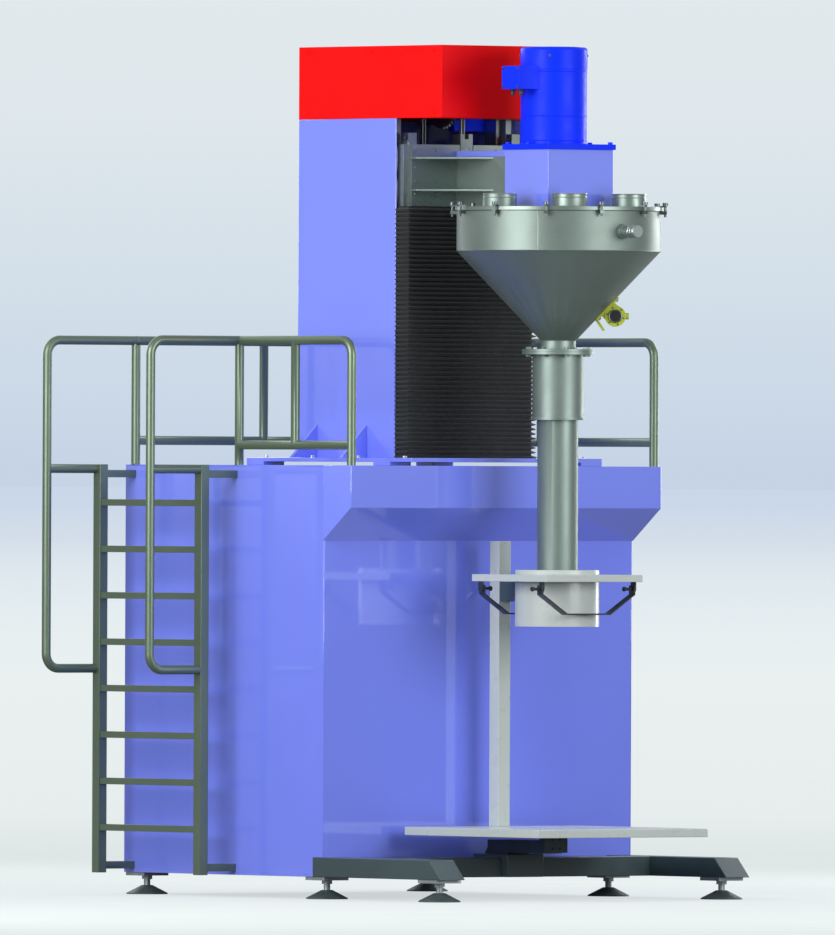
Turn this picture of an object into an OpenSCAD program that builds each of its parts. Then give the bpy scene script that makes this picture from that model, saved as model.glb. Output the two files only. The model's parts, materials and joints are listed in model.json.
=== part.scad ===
// Bulk-bag powder filler: a weighing platform and bag clamp in front of a tall
// cabinet, and a hopper with a dosing auger that a chain hoist lifts and lowers.
// Millimetres, +Z up, front towards -Y, ladder side towards -X.
// Inside each module the dosing axis is X = 0, Y = 0 and the floor is Z = 0.

/* [Cabinet] */
// Width of the cabinet
cab_w = 2100; // [1900:10:2600]
// Distance from the dosing axis back to the cabinet's front wall
cab_front = 679; // [660:1:760]
// Depth of the cabinet, front to back
cab_depth = 1748; // [1600:1:2200]
// Height of the cabinet's underside above the floor
cab_bottom = 118; // [110:1:160]
// Height of the deck above the floor
deck_z = 2315; // [2150:1:2600]
// Thickness of the deck sheet
deck_t = 10; // [5:1:15]
// Thickness of the cabinet's wall sheets
wall_t = 6; // [3:1:10]
// Thickness of the cabinet's floor plate
floor_t = 12; // [6:1:20]
// Side of the square posts inside the cabinet
frame_post = 80; // [50:1:100]
// Height of the beams under the deck
beam_h = 120; // [80:1:160]
// Wall of the square posts and beams
frame_wall = 5; // [3:1:8]

/* [Rear doors] */
// Width of one door
door_w = 688; // [500:1:800]
// Height of the doors
door_h = 1760; // [1400:1:1850]
// Height of the door's lower edge above the floor
door_z = 300; // [250:1:400]
// Depth of the folded door pan
door_t = 24; // [18:1:40]
// Sheet thickness of the door pan
door_sheet = 3; // [2:0.5:5]
// Overlap of the door over the wall opening
door_lap = 40; // [20:1:60]
// Radius of the hinge pin
hinge_pin_r = 5; // [3:0.5:7]
// Length of a hinge's barrel
hinge_len = 80; // [50:1:120]
// Length of the pull handle
handle_len = 220; // [120:1:400]

/* [Canopy] */
// Distance from the dosing axis back to the canopy's fascia
canopy_front = 437; // [400:1:600]
// Height of the fascia
fascia_h = 225; // [150:1:300]
// Height of the sloping underside's lower edge below the deck
canopy_drop = 402; // [300:1:500]
// Overhang of the canopy past each cabinet side
canopy_over = 6; // [0:1:20]
// Sheet thickness of the canopy
canopy_t = 4; // [2:1:6]

/* [Base] */
// Width of an outrigger leg
leg_w = 163; // [120:1:200]
// Height of the legs and the cross beam
leg_h = 105; // [80:1:115]
// Wall of the legs and the cross beam
leg_wall = 8; // [4:1:12]
// How far a leg reaches under the cabinet, behind its front wall
leg_back = 87; // [60:1:150]
// Reach of a leg's lower edge in front of the dosing axis
leg_reach = 348; // [300:1:400]
// Length of the slope at a leg's front end
leg_slope = 104; // [0:1:104]
// Distance from the dosing axis back to the cross beam's front face
beam_front = 305; // [280:1:340]
// Depth of the cross beam
beam_d = 163; // [100:1:200]
// Width of the block in the middle of the cross beam
block_w = 245; // [200:1:300]
// Distance from the dosing axis back to the block's front face
block_front = 261; // [240:1:280]
// Distance from the dosing axis back to the block's rear face
block_back = 560; // [520:1:620]
// Height of the block's top above the floor
block_z = 241; // [226:1:246]
// Distance of a levelling foot from the machine's centre plane
foot_x = 959; // [900:1:980]
// Distance from the front feet forward to the dosing axis
foot_front = 217; // [180:1:230]
// Inset of the middle feet behind the cabinet's front wall
foot_mid_in = 78; // [60:1:80]
// Inset of the rear feet from the cabinet's rear wall
foot_rear_in = 87; // [82:1:160]
// Side of a foot's square top plate
foot_plate_w = 164; // [120:1:164]
// Thickness of a foot's top plate
foot_plate_t = 18; // [10:1:20]
// Radius of a foot's screw
foot_screw_r = 17.5; // [12:0.5:20]
// Radius of a foot's round pad
foot_pad_r = 112; // [90:1:120]
// Height of a foot's round pad
foot_pad_h = 48; // [40:1:55]

/* [Weighing] */
// Side of the square weighing platform
plat_w = 1153; // [1000:1:1200]
// Height of the platform's top above the floor
plat_z = 386; // [370:1:400]
// Height of the platform pan's edge
plat_h = 45; // [40:1:60]
// Sheet thickness of the platform pan
plat_t = 6; // [4:1:8]
// Half width of the weighing arm
arm_half = 72; // [60:1:90]
// Height of the weighing arm
arm_h = 69; // [60:1:69]
// Distance from the dosing axis back to the arm's front end
arm_front = 44; // [40:1:60]
// Distance from the dosing axis back to the arm's rear end
arm_back = 500; // [480:1:540]
// Half width of the plate at the arm's front end
cell_half = 78; // [70:1:90]
// Horizontal distance between the plate's four holes
cell_hole_x = 51; // [40:1:60]
// Vertical distance between the plate's four holes
cell_hole_z = 48; // [40:1:55]
// Radius of the plate's four holes
cell_hole_r = 6; // [4:0.5:8]
// Depth of the plate's four holes
cell_hole_d = 25; // [15:1:35]
// Side of the square tubes under the platform
sub_tube = 39; // [30:1:39]

/* [Bag clamp] */
// Side of the square post
post_w = 80; // [60:1:80]
// Wall of the square post
post_wall = 5; // [3:1:8]
// Distance from the dosing axis back to the post's centre
post_y = 491; // [480:1:495]
// Height of the post's top above the floor
post_z = 1913; // [1800:1:1990]
// Height of the clamp plate's top above the floor
clamp_z = 1737; // [1600:1:1760]
// Thickness of the clamp plate
clamp_t = 38; // [30:1:50]
// Width of the clamp plate
clamp_w = 652; // [640:1:700]
// Depth of the clamp plate, front to back
clamp_d = 646; // [640:1:700]
// Radius of the bag spout
spout_r = 225; // [215:1:235]
// Wall of the bag spout
spout_wall = 5; // [3:1:8]
// Height of the spout above the clamp plate
spout_up = 24; // [10:1:40]
// Length of the spout below the clamp plate
spout_down = 240; // [220:1:300]
// Distance of a bail's pivot from the machine's centre plane
bail_x = 312; // [300:1:315]
// Width of a bail's flat bar
bail_w = 47; // [40:1:50]
// Thickness of a bail's flat bar
bail_t = 8; // [6:1:10]
// Height of a bail's pivot below the clamp plate
bail_pivot = 38; // [36:1:45]
// Depth of a bail's bottom bar below its pivot
bail_drop = 134; // [120:1:150]
// Half length of a bail's bottom bar
bail_flat = 146; // [130:1:160]
// Gap between a closed bail and the spout
bail_gap = 2; // [1:0.5:5]
// Radius of a bail's pivot pin
bail_pin_r = 8; // [6:0.5:10]

/* [Dosing tube and hopper] */
// Outer radius of the dosing tube around the auger
tube_r = 94; // [90:1:96]
// Wall of the dosing tube
tube_wall = 4; // [3:1:5]
// Height of the dosing tube's mouth above the floor, lifted
tube_z = 1600; // [1560:1:1650]
// Outer radius of the lower jacket
jacket_r = 109; // [105:1:115]
// Outer radius of the upper jacket
jacket2_r = 138; // [130:1:145]
// Wall of both jackets
jacket_wall = 4; // [3:1:5]
// Height of the ring between the jackets
ring_z = 2562; // [2500:1:2600]
// Thickness of the ring between the jackets
ring_t = 13; // [10:1:20]
// Outer radius of the ring between the jackets
ring_r = 147; // [145:1:160]
// Height of the tube flange's underside
flange_z = 2911; // [2880:1:2930]
// Thickness of the two tube flanges together
flange_t = 29; // [20:1:32]
// Outer radius of the tube flanges
flange_r = 194; // [185:1:200]
// Radius of the flange's bolt circle
flange_bolt_pcr = 166; // [160:1:175]
// Height of the cone's lower edge
cone_z = 2985; // [2975:1:3000]
// Height of the cone
cone_h = 478; // [450:1:500]
// Outer radius of the hopper
hop_r = 545.5; // [520:0.5:560]
// Height of the hopper's cylinder
hop_h = 214; // [180:1:240]
// Wall of the hopper
hop_wall = 4; // [3:1:6]
// Radius of the lid
lid_r = 555; // [550:1:570]
// Thickness of the lid
lid_t = 21; // [10:1:25]
// Radius of the inlet pipes
inlet_r = 91; // [70:1:95]
// Wall of the inlet pipes
inlet_wall = 3; // [2:0.5:5]
// Height of the inlet pipes above the lid
inlet_h = 70; // [50:1:80]
// Radius at which the inlet pipes stand
inlet_pcr = 402; // [390:1:410]
// Angle of the two front inlet pipes from the front
inlet_angle = 30; // [26:1:36]
// Number of clamps round the lid
lid_clamp_n = 12; // [12, 16]
// Radius of the level sensor's housing
sensor_r = 32.5; // [25:0.5:40]
// Length of the level sensor's housing
sensor_len = 135; // [100:1:160]

/* [Auger and agitator] */
// Radius of the auger's shaft
shaft_r = 25; // [20:1:28]
// Radius of the auger's flight
flight_r = 86; // [80:1:87]
// Pitch of the auger's flight
flight_pitch = 150; // [120:1:180]
// Thickness of the auger's flight across its slope
flight_t = 8; // [5:1:12]
// Inner radius of the agitator's sleeve
sleeve_in = 28; // [28:1:30]
// Outer radius of the agitator's sleeve
sleeve_r = 40; // [36:1:44]
// Gap between the agitator and the hopper wall
scrape_gap = 25; // [15:1:40]
// Width of the agitator's bars
scrape_w = 40; // [30:1:50]
// Thickness of the agitator's bars
scrape_t = 12; // [8:1:16]

/* [Drive] */
// Half width of the drive box
dbox_x = 221; // [215:1:240]
// Half depth of the drive box
dbox_y = 187; // [180:1:200]
// Height of the drive box
dbox_h = 306; // [300:1:330]
// Wall of the drive box
dbox_wall = 8; // [5:1:10]
// Margin of the top plate round the drive box
dplate_over = 10; // [5:1:15]
// Thickness of the drive box's top plate
dplate_t = 29; // [20:1:32]
// Radius of the motor's body
motor_r = 177; // [160:1:180]
// Height of the motor
motor_h = 518; // [450:1:520]
// Height of the motor's fan cowl
cowl_h = 118; // [90:1:140]
// Gear module of the drive's gears
gear_m = 3; // [3:0.5:3]
// Face width of the gears
gear_face = 40; // [30:1:45]

/* [Lift column] */
// Half width of the column
col_x = 432; // [425:1:450]
// Distance from the dosing axis back to the column's front edge
col_front = 861; // [855:1:880]
// Distance from the dosing axis back to the column's rear face
col_back = 1714; // [1600:1:1750]
// Height of the column's walls above its base plate
col_h = 1819; // [1780:1:1900]
// Sheet thickness of the column's walls
col_wall = 6; // [4:1:8]
// Half width of the column's base plate
base_x = 649; // [600:1:680]
// Distance from the dosing axis back to the base plate's front edge
base_front = 437; // [430:1:460]
// Distance from the dosing axis back to the base plate's rear edge
base_back = 1879; // [1850:1:1900]
// Thickness of the base plate
base_t = 22; // [15:1:25]
// Height of the pads under the base plate
base_pad_h = 19; // [10:1:25]
// Size of a gusset along the base plate and up the wall
gusset_w = 180; // [120:1:190]
// Thickness of a gusset
gusset_t = 15; // [10:1:20]
// Height of the red cap
cap_h = 389; // [380:1:420]
// Distance from the dosing axis back to the cap's front face
cap_front = 465; // [450:1:500]
// Sheet thickness of the cap
cap_t = 4; // [3:1:6]

/* [Guides and hoist] */
// Side of the square guide posts
gpost_w = 100; // [80:1:100]
// Distance from the dosing axis back to the guide posts' front faces
gpost_y = 960; // [950:1:980]
// Width of a guide rail
grail_w = 40; // [30:1:45]
// Depth of a guide rail
grail_d = 45; // [35:1:50]
// Running clearance of the guide shoes
shoe_gap = 0.3; // [0.2:0.1:1]
// Pitch radius of the chain wheels
wheel_r = 170; // [165:1:172]
// Half width of the hoist chain
chain_half = 12; // [10:1:12]
// Half thickness of the hoist chain
chain_thick = 10; // [8:1:10]
// Radius of the hoist shaft
hoist_r = 25; // [20:1:30]
// Height of the hoist shaft above the guide posts
hoist_up = 120; // [110:1:140]
// Height of the idler shaft above the base plate
idler_up = 204; // [200:1:230]

/* [Carriage] */
// Half width of the carriage plate
car_x = 374; // [360:1:385]
// Distance from the dosing axis back to the carriage plate's front face
car_y = 800; // [795:1:805]
// Thickness of the carriage plate
car_t = 20; // [15:1:20]
// Height of the carriage plate's lower edge, lifted
car_z = 3704; // [3700:1:3710]
// Height of the carriage plate
car_h = 332; // [320:1:340]
// Half width of the carriage arm
carm_x = 70; // [60:1:80]
// Height of the carriage arm
carm_h = 266; // [250:1:280]
// Wall of the carriage arm
carm_wall = 8; // [5:1:12]
// Height of the cover on the carriage arm
carm_cover = 33; // [20:1:35]
// Radius of the carriage plate's bolt heads
car_bolt_r = 9; // [6:1:12]

/* [Bellows] */
// Half width of the bellows
bel_x = 440; // [430:1:450]
// Depth of the bellows, front to back
bel_d = 120; // [100:1:125]
// Depth of the folds
bel_fold = 18; // [10:1:25]
// Number of folds
bel_n = 54; // [40:1:60]
// Thickness of the bellows' front, folds included
bel_front_t = 60; // [40:1:60]
// Gap between the bellows and the carriage
bel_gap = 0.3; // [0.3:0.1:3]

/* [Ladder and rails] */
// Distance from the centre plane to the ladder stringers' centres
lad_x = 1275; // [1250:1:1320]
// Width of a stringer across the ladder's depth
str_x = 52; // [40:1:60]
// Width of a stringer along the ladder's width
str_y = 61; // [40:1:70]
// Wall of the stringers
str_wall = 3; // [2:1:5]
// Distance from the dosing axis back to the near stringer's centre
str_near = 1457; // [1450:1:1500]
// Width of the ladder between stringer centres
lad_w = 896; // [800:1:950]
// Height of the lowest rung above the floor
rung_z = 362; // [350:1:400]
// Distance between rungs
rung_pitch = 249.7; // [230:0.1:255]
// Number of rungs
rung_n = 8; // [6:1:8]
// Height of a rung
rung_h = 35; // [25:1:40]
// Depth of a rung
rung_d = 42; // [30:1:50]
// Outer radius of the rail tubes
rail_r = 24.15; // [20:0.05:30]
// Wall of the rail tubes
rail_wall = 2.6; // [2:0.1:4]
// Inset of the rails from the cabinet's side walls
rail_in = 20; // [15:1:60]
// Height of the top rail above the deck
rail_h = 667; // [600:1:1100]
// Height of the side panels' bottom rail above the deck
toe_side = 107; // [80:1:150]
// Height of the rear panel's bottom rail above the deck
toe_back = 130; // [80:1:150]
// Distance from the dosing axis back to the side panels' front posts
rail_front = 470; // [462:1:500]
// Distance from the dosing axis back to the middle balusters
rail_mid = 960; // [900:1:1000]
// Distance from the dosing axis back to the right-hand side's middle post
rail_mid_right = 1180; // [1100:1:1300]
// Distance from the centre plane to the rear panel's balusters
rail_back_x = 160; // [120:1:400]
// Reach of the handrail loops from the centre plane
loop_x = 1629; // [1600:1:1700]
// Height of the handrail loops' lower runs above the floor
loop_z = 1217; // [1000:1:1300]
// Bend radius of the rail tubes
bend_r = 80; // [60:1:120]

/* [Hidden] */

// Colours
lavender = [0.56, 0.60, 1.0];
cap_red = [0.95, 0.04, 0.04];
motor_blue = [0.06, 0.2, 1.0];
rail_olive = [0.45, 0.52, 0.46];
steel = [0.62, 0.66, 0.66];
dark_metal = [0.26, 0.31, 0.31];
cream = [0.86, 0.88, 0.85];
black = [0.07, 0.08, 0.08];
safety_yellow = [0.72, 0.78, 0.2];

// Clearances and small constants
fit = 0.05;
bush_fit = 0.2;
cut = 1;
tube_seat = 24;
round_fn = 96;
fine_fn = 48;

// Cabinet
cab_x = cab_w / 2;
cab_back = cab_front + cab_depth;
cab_in_x = cab_x - wall_t;
floor_z = cab_bottom + floor_t;
deck_under = deck_z - deck_t;
leg_top = cab_bottom + leg_h;
leg_in_x = cab_x - leg_w;
beam_ys = [1000, 1650];
post_ys = [cab_front + leg_back + frame_post / 2, cab_back - wall_t - frame_post / 2];

// Doors: hinge axes stand outside the doors' outer edges
door_gap = 2;
door_y = cab_back + door_gap;
hinge_r = hinge_pin_r + 4;
hinge_x = door_gap + door_w + 14;
hinge_y = door_y + door_t / 2;
hinge_zs = [door_z + 200, door_z + door_h / 2, door_z + door_h - 200];
handle_out = 50;
handle_bar = 16;
handle_z = 1100;

// Extents, which set the datum at the middle of the footprint
rear_y = door_y + door_t + handle_out;
front_y = -(hop_r + sensor_len);
right_x = max(cab_x + canopy_over, foot_x + foot_pad_r);
mid_x = (right_x - loop_x - rail_r) / 2;
mid_y = (front_y + rear_y) / 2;

// Weighing and bag clamp
plat_under = plat_z - plat_h;
arm_pad = 6;
arm_z = block_z + arm_pad;
cell_z = plat_under - 90;
cell_mid_z = plat_under - 44;
clamp_under = clamp_z - clamp_t;
bail_y = spout_r + bail_gap + bail_w / 2;
bail_z = clamp_under - bail_pivot;
bail_knee = bail_z - 29;
bail_low = bail_z - bail_drop;
lug_t = 8;
lug_r = 20;
lug_gap = 1;

// Hopper, tube and drive heights
shell_z = cone_z + cone_h;
lid_z = shell_z + hop_h;
lid_top = lid_z + lid_t;
cone_k = (hop_r - tube_r) / cone_h;
cone_len = sqrt(1 + cone_k * cone_k);
dbox_top = lid_top + dbox_h;
dplate_top = dbox_top + dplate_t;
motor_y = 16 * gear_m;
lay_x = 35 * gear_m;
gear_hi_z = dbox_top - 99;
gear_lo_z = lid_top + 77;
bearing_h = 40;

// Column, guides and hoist
base_z = deck_z + base_pad_h;
col_z = base_z + base_t;
col_top = col_z + col_h;
col_in_x = col_x - col_wall;
gpost_x = col_in_x - gpost_w / 2;
wheel_y = gpost_y + gpost_w / 2;
wheel_z = col_top + hoist_up;
idler_z = col_z + idler_up;
chain_y = wheel_y - wheel_r;
chain_slot = 1.5;

// Carriage
car_top = car_z + car_h;
car_back = car_y + car_t;
frame_d = 50;
shoe_back = gpost_y - 5;
anchor_z = car_top - 33;

// Bellows
bel_y = col_front - bel_d - 1;
bel_top = car_z - bel_gap;
bel_pitch = (bel_top - col_z) / bel_n;

// Rails
rail_x = cab_x - rail_in;
rail_z = deck_z + rail_h;
str_far = str_near + lad_w;
gate_y = str_near - 7;
back_y = str_far + 12;
rail_in_r = rail_r - rail_wall;

module at_datum() {
    translate([-mid_x, -mid_y, 0]) children();
}

module both_sides() {
    children();
    mirror([1, 0, 0]) children();
}

// Block between two corners
module block(x0, x1, y0, y1, z0, z1) {
    translate([x0, y0, z0]) cube([x1 - x0, y1 - y0, z1 - z0]);
}

// Outline in Y and Z, extruded along X
module prism_x(x0, x1, points) {
    translate([x0, 0, 0]) rotate([90, 0, 90]) linear_extrude(height = x1 - x0) polygon(points);
}

// Outline in X and Z, extruded along Y
module prism_y(y0, y1, points) {
    translate([0, y1, 0]) rotate([90, 0, 0]) linear_extrude(height = y1 - y0) polygon(points);
}

// Outline in X and Y, extruded along Z
module prism_z(z0, z1, points) {
    translate([0, 0, z0]) linear_extrude(height = z1 - z0) polygon(points);
}

module rod_x(x0, x1, y, z, r) {
    translate([x0, y, z]) rotate([0, 90, 0]) cylinder(r = r, h = x1 - x0, $fn = fine_fn);
}

module rod_y(y0, y1, x, z, r) {
    translate([x, y0, z]) rotate([-90, 0, 0]) cylinder(r = r, h = y1 - y0, $fn = fine_fn);
}

module rod_z(z0, z1, x, y, r) {
    translate([x, y, z0]) cylinder(r = r, h = z1 - z0, $fn = fine_fn);
}

module hex_z(z0, z1, x, y, r) {
    translate([x, y, z0]) cylinder(r = r, h = z1 - z0, $fn = 6);
}

// Round shell between two heights on the dosing axis
module round_shell(z0, z1, r_out, r_in) {
    difference() {
        translate([0, 0, z0]) cylinder(r = r_out, h = z1 - z0, $fn = round_fn);
        translate([0, 0, z0 - cut]) cylinder(r = r_in, h = z1 - z0 + 2 * cut, $fn = round_fn);
    }
}

// Bearing ring standing on an axis
module bearing_ring(z0, z1, x, y, r_out, r_in) {
    difference() {
        rod_z(z0, z1, x, y, r_out);
        rod_z(z0 - cut, z1 + cut, x, y, r_in);
    }
}

// Straight rail tubes
module rail_run_x(x0, x1, y, z) {
    difference() {
        rod_x(x0, x1, y, z, rail_r);
        rod_x(x0 - cut, x1 + cut, y, z, rail_in_r);
    }
}

module rail_run_y(y0, y1, x, z) {
    difference() {
        rod_y(y0, y1, x, z, rail_r);
        rod_y(y0 - cut, y1 + cut, x, z, rail_in_r);
    }
}

module rail_run_z(z0, z1, x, y) {
    difference() {
        rod_z(z0, z1, x, y, rail_r);
        rod_z(z0 - cut, z1 + cut, x, y, rail_in_r);
    }
}

// Quarter bend of rail tube about the Z axis, from +X round to +Y
module rail_bend() {
    rotate_extrude(angle = 90, $fn = fine_fn) translate([bend_r, 0]) difference() {
        circle(r = rail_r, $fn = fine_fn);
        circle(r = rail_in_r, $fn = fine_fn);
    }
}

// Involute spur gear, one tooth centred on +X
function inv(a) = tan(a) * 180 / PI - a;
pressure = 25;
addendum = 0.9 * gear_m;
dedendum = 1.15 * gear_m;
thinning = 0.14 * gear_m;
function flank(n, r) =
    let (rp = n * gear_m / 2, rb = rp * cos(pressure))
    90 / n - thinning / rp * 90 / PI + inv(pressure) - (r > rb ? inv(acos(rb / r)) : 0);
function gear_points(n) =
    let (rp = n * gear_m / 2, rr = rp - dedendum, ra = rp + addendum, rb = rp * cos(pressure))
    let (r0 = max(rr + 0.3, rb), radii = [rr, r0, r0 + (ra - r0) * 0.35, r0 + (ra - r0) * 0.7, ra])
    [for (i = [0:n - 1]) each concat(
        [for (r = radii) let (a = i * 360 / n - flank(n, r)) [r * cos(a), r * sin(a)]],
        [for (j = [4:-1:0]) let (r = radii[j], a = i * 360 / n + flank(n, r))
            [r * cos(a), r * sin(a)]])];

module gear(n, z0, bore) {
    difference() {
        prism_z(z0, z0 + gear_face, gear_points(n));
        rod_z(z0 - cut, z0 + gear_face + cut, 0, 0, bore);
    }
}

// ---- Base and feet ----

feet = [for (s = [-1, 1], y = [-foot_front, cab_front + foot_mid_in, cab_back - foot_rear_in])
    [s * foot_x, y]];
foot_socket = 20;

module foot_pads() {
    r = foot_screw_r + fit;
    color(dark_metal) at_datum() for (f = feet) translate([f[0], f[1], 0])
        rotate_extrude($fn = round_fn)
            polygon([[0, 0], [foot_pad_r, 0], [foot_pad_r, 6], [r + 12, foot_pad_h],
                [r, foot_pad_h], [r, foot_socket], [0, foot_socket]]);
}

module foot_screws() {
    plate_z = cab_bottom - foot_plate_t;
    nut_h = 20;
    nut_r = 30;
    half = foot_plate_w / 2;
    color(steel) at_datum() for (f = feet) translate([f[0], f[1], 0]) {
        rod_z(foot_socket, plate_z, 0, 0, foot_screw_r);
        difference() {
            hex_z(plate_z - nut_h, plate_z, 0, 0, nut_r);
            rod_z(plate_z - nut_h - cut, plate_z + cut, 0, 0, foot_screw_r + fit);
        }
        block(-half, half, -half, half, plate_z, cab_bottom);
    }
}

module outriggers() {
    back = cab_front + leg_back;
    nose = -leg_reach;
    lean = leg_slope / leg_h;
    skew = leg_wall * sqrt(1 + lean * lean);
    in_low = nose + skew + leg_wall * lean;
    in_high = nose + skew + (leg_h - leg_wall) * lean;
    color(dark_metal) at_datum() both_sides() difference() {
        prism_x(leg_in_x, cab_x, [[back, cab_bottom], [nose, cab_bottom],
            [nose + leg_slope, leg_top], [back, leg_top]]);
        prism_x(leg_in_x + leg_wall, cab_x - leg_wall, [[back + cut, cab_bottom + leg_wall],
            [in_low, cab_bottom + leg_wall], [in_high, leg_top - leg_wall],
            [back + cut, leg_top - leg_wall]]);
    }
}

module cross_beam() {
    half = block_w / 2;
    back = beam_front + beam_d;
    w = leg_wall;
    color(dark_metal) at_datum() {
        both_sides() difference() {
            block(half, leg_in_x, beam_front, back, cab_bottom, leg_top);
            block(half - cut, leg_in_x + cut, beam_front + w, back - w, cab_bottom + w,
                leg_top - w);
        }
        difference() {
            block(-half, half, block_front, block_back, cab_bottom, block_z);
            block(-half + w, half - w, block_front + w, block_back - w, cab_bottom - cut,
                block_z - w);
        }
    }
}

// ---- Weighing ----

module weigh_arm() {
    top = arm_z + arm_h;
    w = 6;
    rib_x = 36;
    rib_t = 10;
    color(dark_metal) at_datum() {
        difference() {
            union() {
                block(-arm_half, arm_half, arm_front, arm_back, arm_z, top);
                block(-arm_half, arm_half, beam_front + 20, arm_back, block_z, arm_z);
                both_sides() prism_x(rib_x, rib_x + rib_t,
                    [[arm_back - cut, block_z], [block_back, block_z], [arm_back, top],
                        [arm_back - cut, top]]);
            }
            block(-arm_half + w, arm_half - w, arm_front + w, arm_back - w, arm_z + w, top - w);
        }
        difference() {
            block(-cell_half, cell_half, 0, arm_front, cell_z, plat_under);
            for (x = [-1, 1], z = [-1, 1])
                rod_y(-cut, cell_hole_d, x * cell_hole_x / 2, cell_mid_z + z * cell_hole_z / 2,
                    cell_hole_r);
        }
    }
}

module weigh_platform() {
    half = plat_w / 2;
    in = half - plat_t;
    color(cream) at_datum() difference() {
        block(-half, half, -half, half, plat_under, plat_z);
        block(-in, in, -in, in, plat_under - cut, plat_z - plat_t);
    }
}

// Bars under the platform pan, drawn smaller by w to hollow them
module sub_bars(w) {
    in = plat_w / 2 - plat_t - w;
    z0 = plat_under + w;
    z1 = plat_z - plat_t - w;
    half = sub_tube / 2 - w;
    for (y = [arm_front / 2, post_y, -post_y]) block(-in, in, y - half, y + half, z0, z1);
    for (x = [-350, 350]) block(x - half, x + half, -in, in, z0, z1);
}

module platform_frame() {
    color(steel) at_datum() difference() {
        sub_bars(0);
        sub_bars(3);
    }
}

// ---- Bag clamp ----

module bag_post() {
    half = post_w / 2;
    in = half - post_wall;
    color(cream) at_datum() difference() {
        block(-half, half, post_y - half, post_y + half, plat_z, post_z);
        block(-in, in, post_y - in, post_y + in, plat_z - cut, post_z - post_wall);
    }
}

module clamp_bracket() {
    y1 = post_y - post_w / 2;
    y0 = spout_r + 10;
    color(dark_metal) at_datum() prism_x(-35, 35, [[y1, clamp_under], [y0, clamp_under],
        [y0, clamp_under - 45], [y1 - 50, clamp_under - 109], [y1, clamp_under - 109]]);
}

module clamp_plate() {
    hx = clamp_w / 2;
    hy = clamp_d / 2;
    rim = 6;
    side = 34;
    color(cream) at_datum() difference() {
        block(-hx, hx, -hy, hy, clamp_under, clamp_z);
        difference() {
            block(-hx + side, hx - side, -hy + rim, hy - rim, clamp_under - cut, clamp_z - rim);
            rod_z(clamp_under - 2 * cut, clamp_z, 0, 0, spout_r + 12);
            block(-40, 40, spout_r, hy, clamp_under - 2 * cut, clamp_z);
        }
        translate([0, 0, clamp_under - cut])
            cylinder(r = spout_r + bush_fit, h = clamp_t + 2 * cut, $fn = round_fn);
    }
}

module bag_spout() {
    color(cream) at_datum()
        round_shell(clamp_under - spout_down, clamp_z + spout_up, spout_r, spout_r - spout_wall);
}

// Front bail: a flat bar bent to a trough, hung from two pivots
module bail_bar() {
    h = bail_t / 2;
    eye = 20;
    difference() {
        prism_y(-bail_y - bail_w / 2, -bail_y + bail_w / 2, [
            [-bail_x - h, bail_z + eye], [-bail_x - h, bail_knee - 2],
            [-bail_flat - 2, bail_low - h], [bail_flat + 2, bail_low - h],
            [bail_x + h, bail_knee - 2], [bail_x + h, bail_z + eye],
            [bail_x - h, bail_z + eye], [bail_x - h, bail_knee + 2],
            [bail_flat - 2, bail_low + h], [-bail_flat + 2, bail_low + h],
            [-bail_x + h, bail_knee + 2], [-bail_x + h, bail_z + eye]]);
        rod_x(-bail_x - 2 * h, bail_x + 2 * h, -bail_y, bail_z, bail_pin_r + fit);
    }
}

module bail_lug(x0) {
    block(x0, x0 + lug_t, -bail_y - lug_r, -bail_y + lug_r, bail_z, clamp_under);
    rod_x(x0, x0 + lug_t, -bail_y, bail_z, lug_r);
}

module bail_pivot_pair() {
    left = -bail_x + bail_t / 2 + lug_gap;
    right = bail_x + bail_t / 2 + lug_gap;
    pin = 73;
    head = 10;
    bail_lug(left);
    rod_x(left - pin + lug_t, left + cut, -bail_y, bail_z, bail_pin_r);
    rod_x(left - pin + lug_t, left - pin + lug_t + head, -bail_y, bail_z, bail_pin_r + 5);
    bail_lug(right);
    rod_x(right + lug_t - pin, right + cut, -bail_y, bail_z, bail_pin_r);
    rod_x(right + lug_t - pin, right + lug_t - pin + head, -bail_y, bail_z, bail_pin_r + 5);
}

module bail_pivots() {
    color(black) at_datum() {
        bail_pivot_pair();
        rotate([0, 0, 180]) bail_pivot_pair();
    }
}

module front_bail() {
    color(black) at_datum() bail_bar();
}

module rear_bail() {
    color(black) at_datum() rotate([0, 0, 180]) bail_bar();
}

// ---- Cabinet ----

// Space that the outriggers take inside the cabinet
module leg_stubs() {
    both_sides() block(leg_in_x, cab_x + cut, cab_front - cut, cab_front + leg_back,
        cab_bottom - cut, leg_top);
}

module cabinet_floor() {
    color(lavender) at_datum() difference() {
        block(-cab_x, cab_x, cab_front, cab_back, cab_bottom, floor_z);
        leg_stubs();
    }
}

module cabinet_sides() {
    color(lavender) at_datum() difference() {
        both_sides() block(cab_in_x, cab_x, cab_front, cab_back, floor_z, deck_under);
        leg_stubs();
    }
}

module cabinet_front() {
    color(lavender) at_datum() difference() {
        block(-cab_in_x, cab_in_x, cab_front, cab_front + wall_t, floor_z, deck_under);
        leg_stubs();
    }
}

module cabinet_back() {
    half = door_gap + door_w - door_lap;
    color(lavender) at_datum() difference() {
        block(-cab_in_x, cab_in_x, cab_back - wall_t, cab_back, floor_z, deck_under);
        block(-half, half, cab_back - wall_t - cut, cab_back + cut, door_z + door_lap,
            door_z + door_h - door_lap);
    }
}

// Square tube standing at a point
module frame_tube(x, y, z1) {
    half = frame_post / 2;
    in = half - frame_wall;
    difference() {
        block(x - half, x + half, y - half, y + half, floor_z, z1);
        block(x - in, x + in, y - in, y + in, floor_z - cut, z1 + cut);
    }
}

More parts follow.
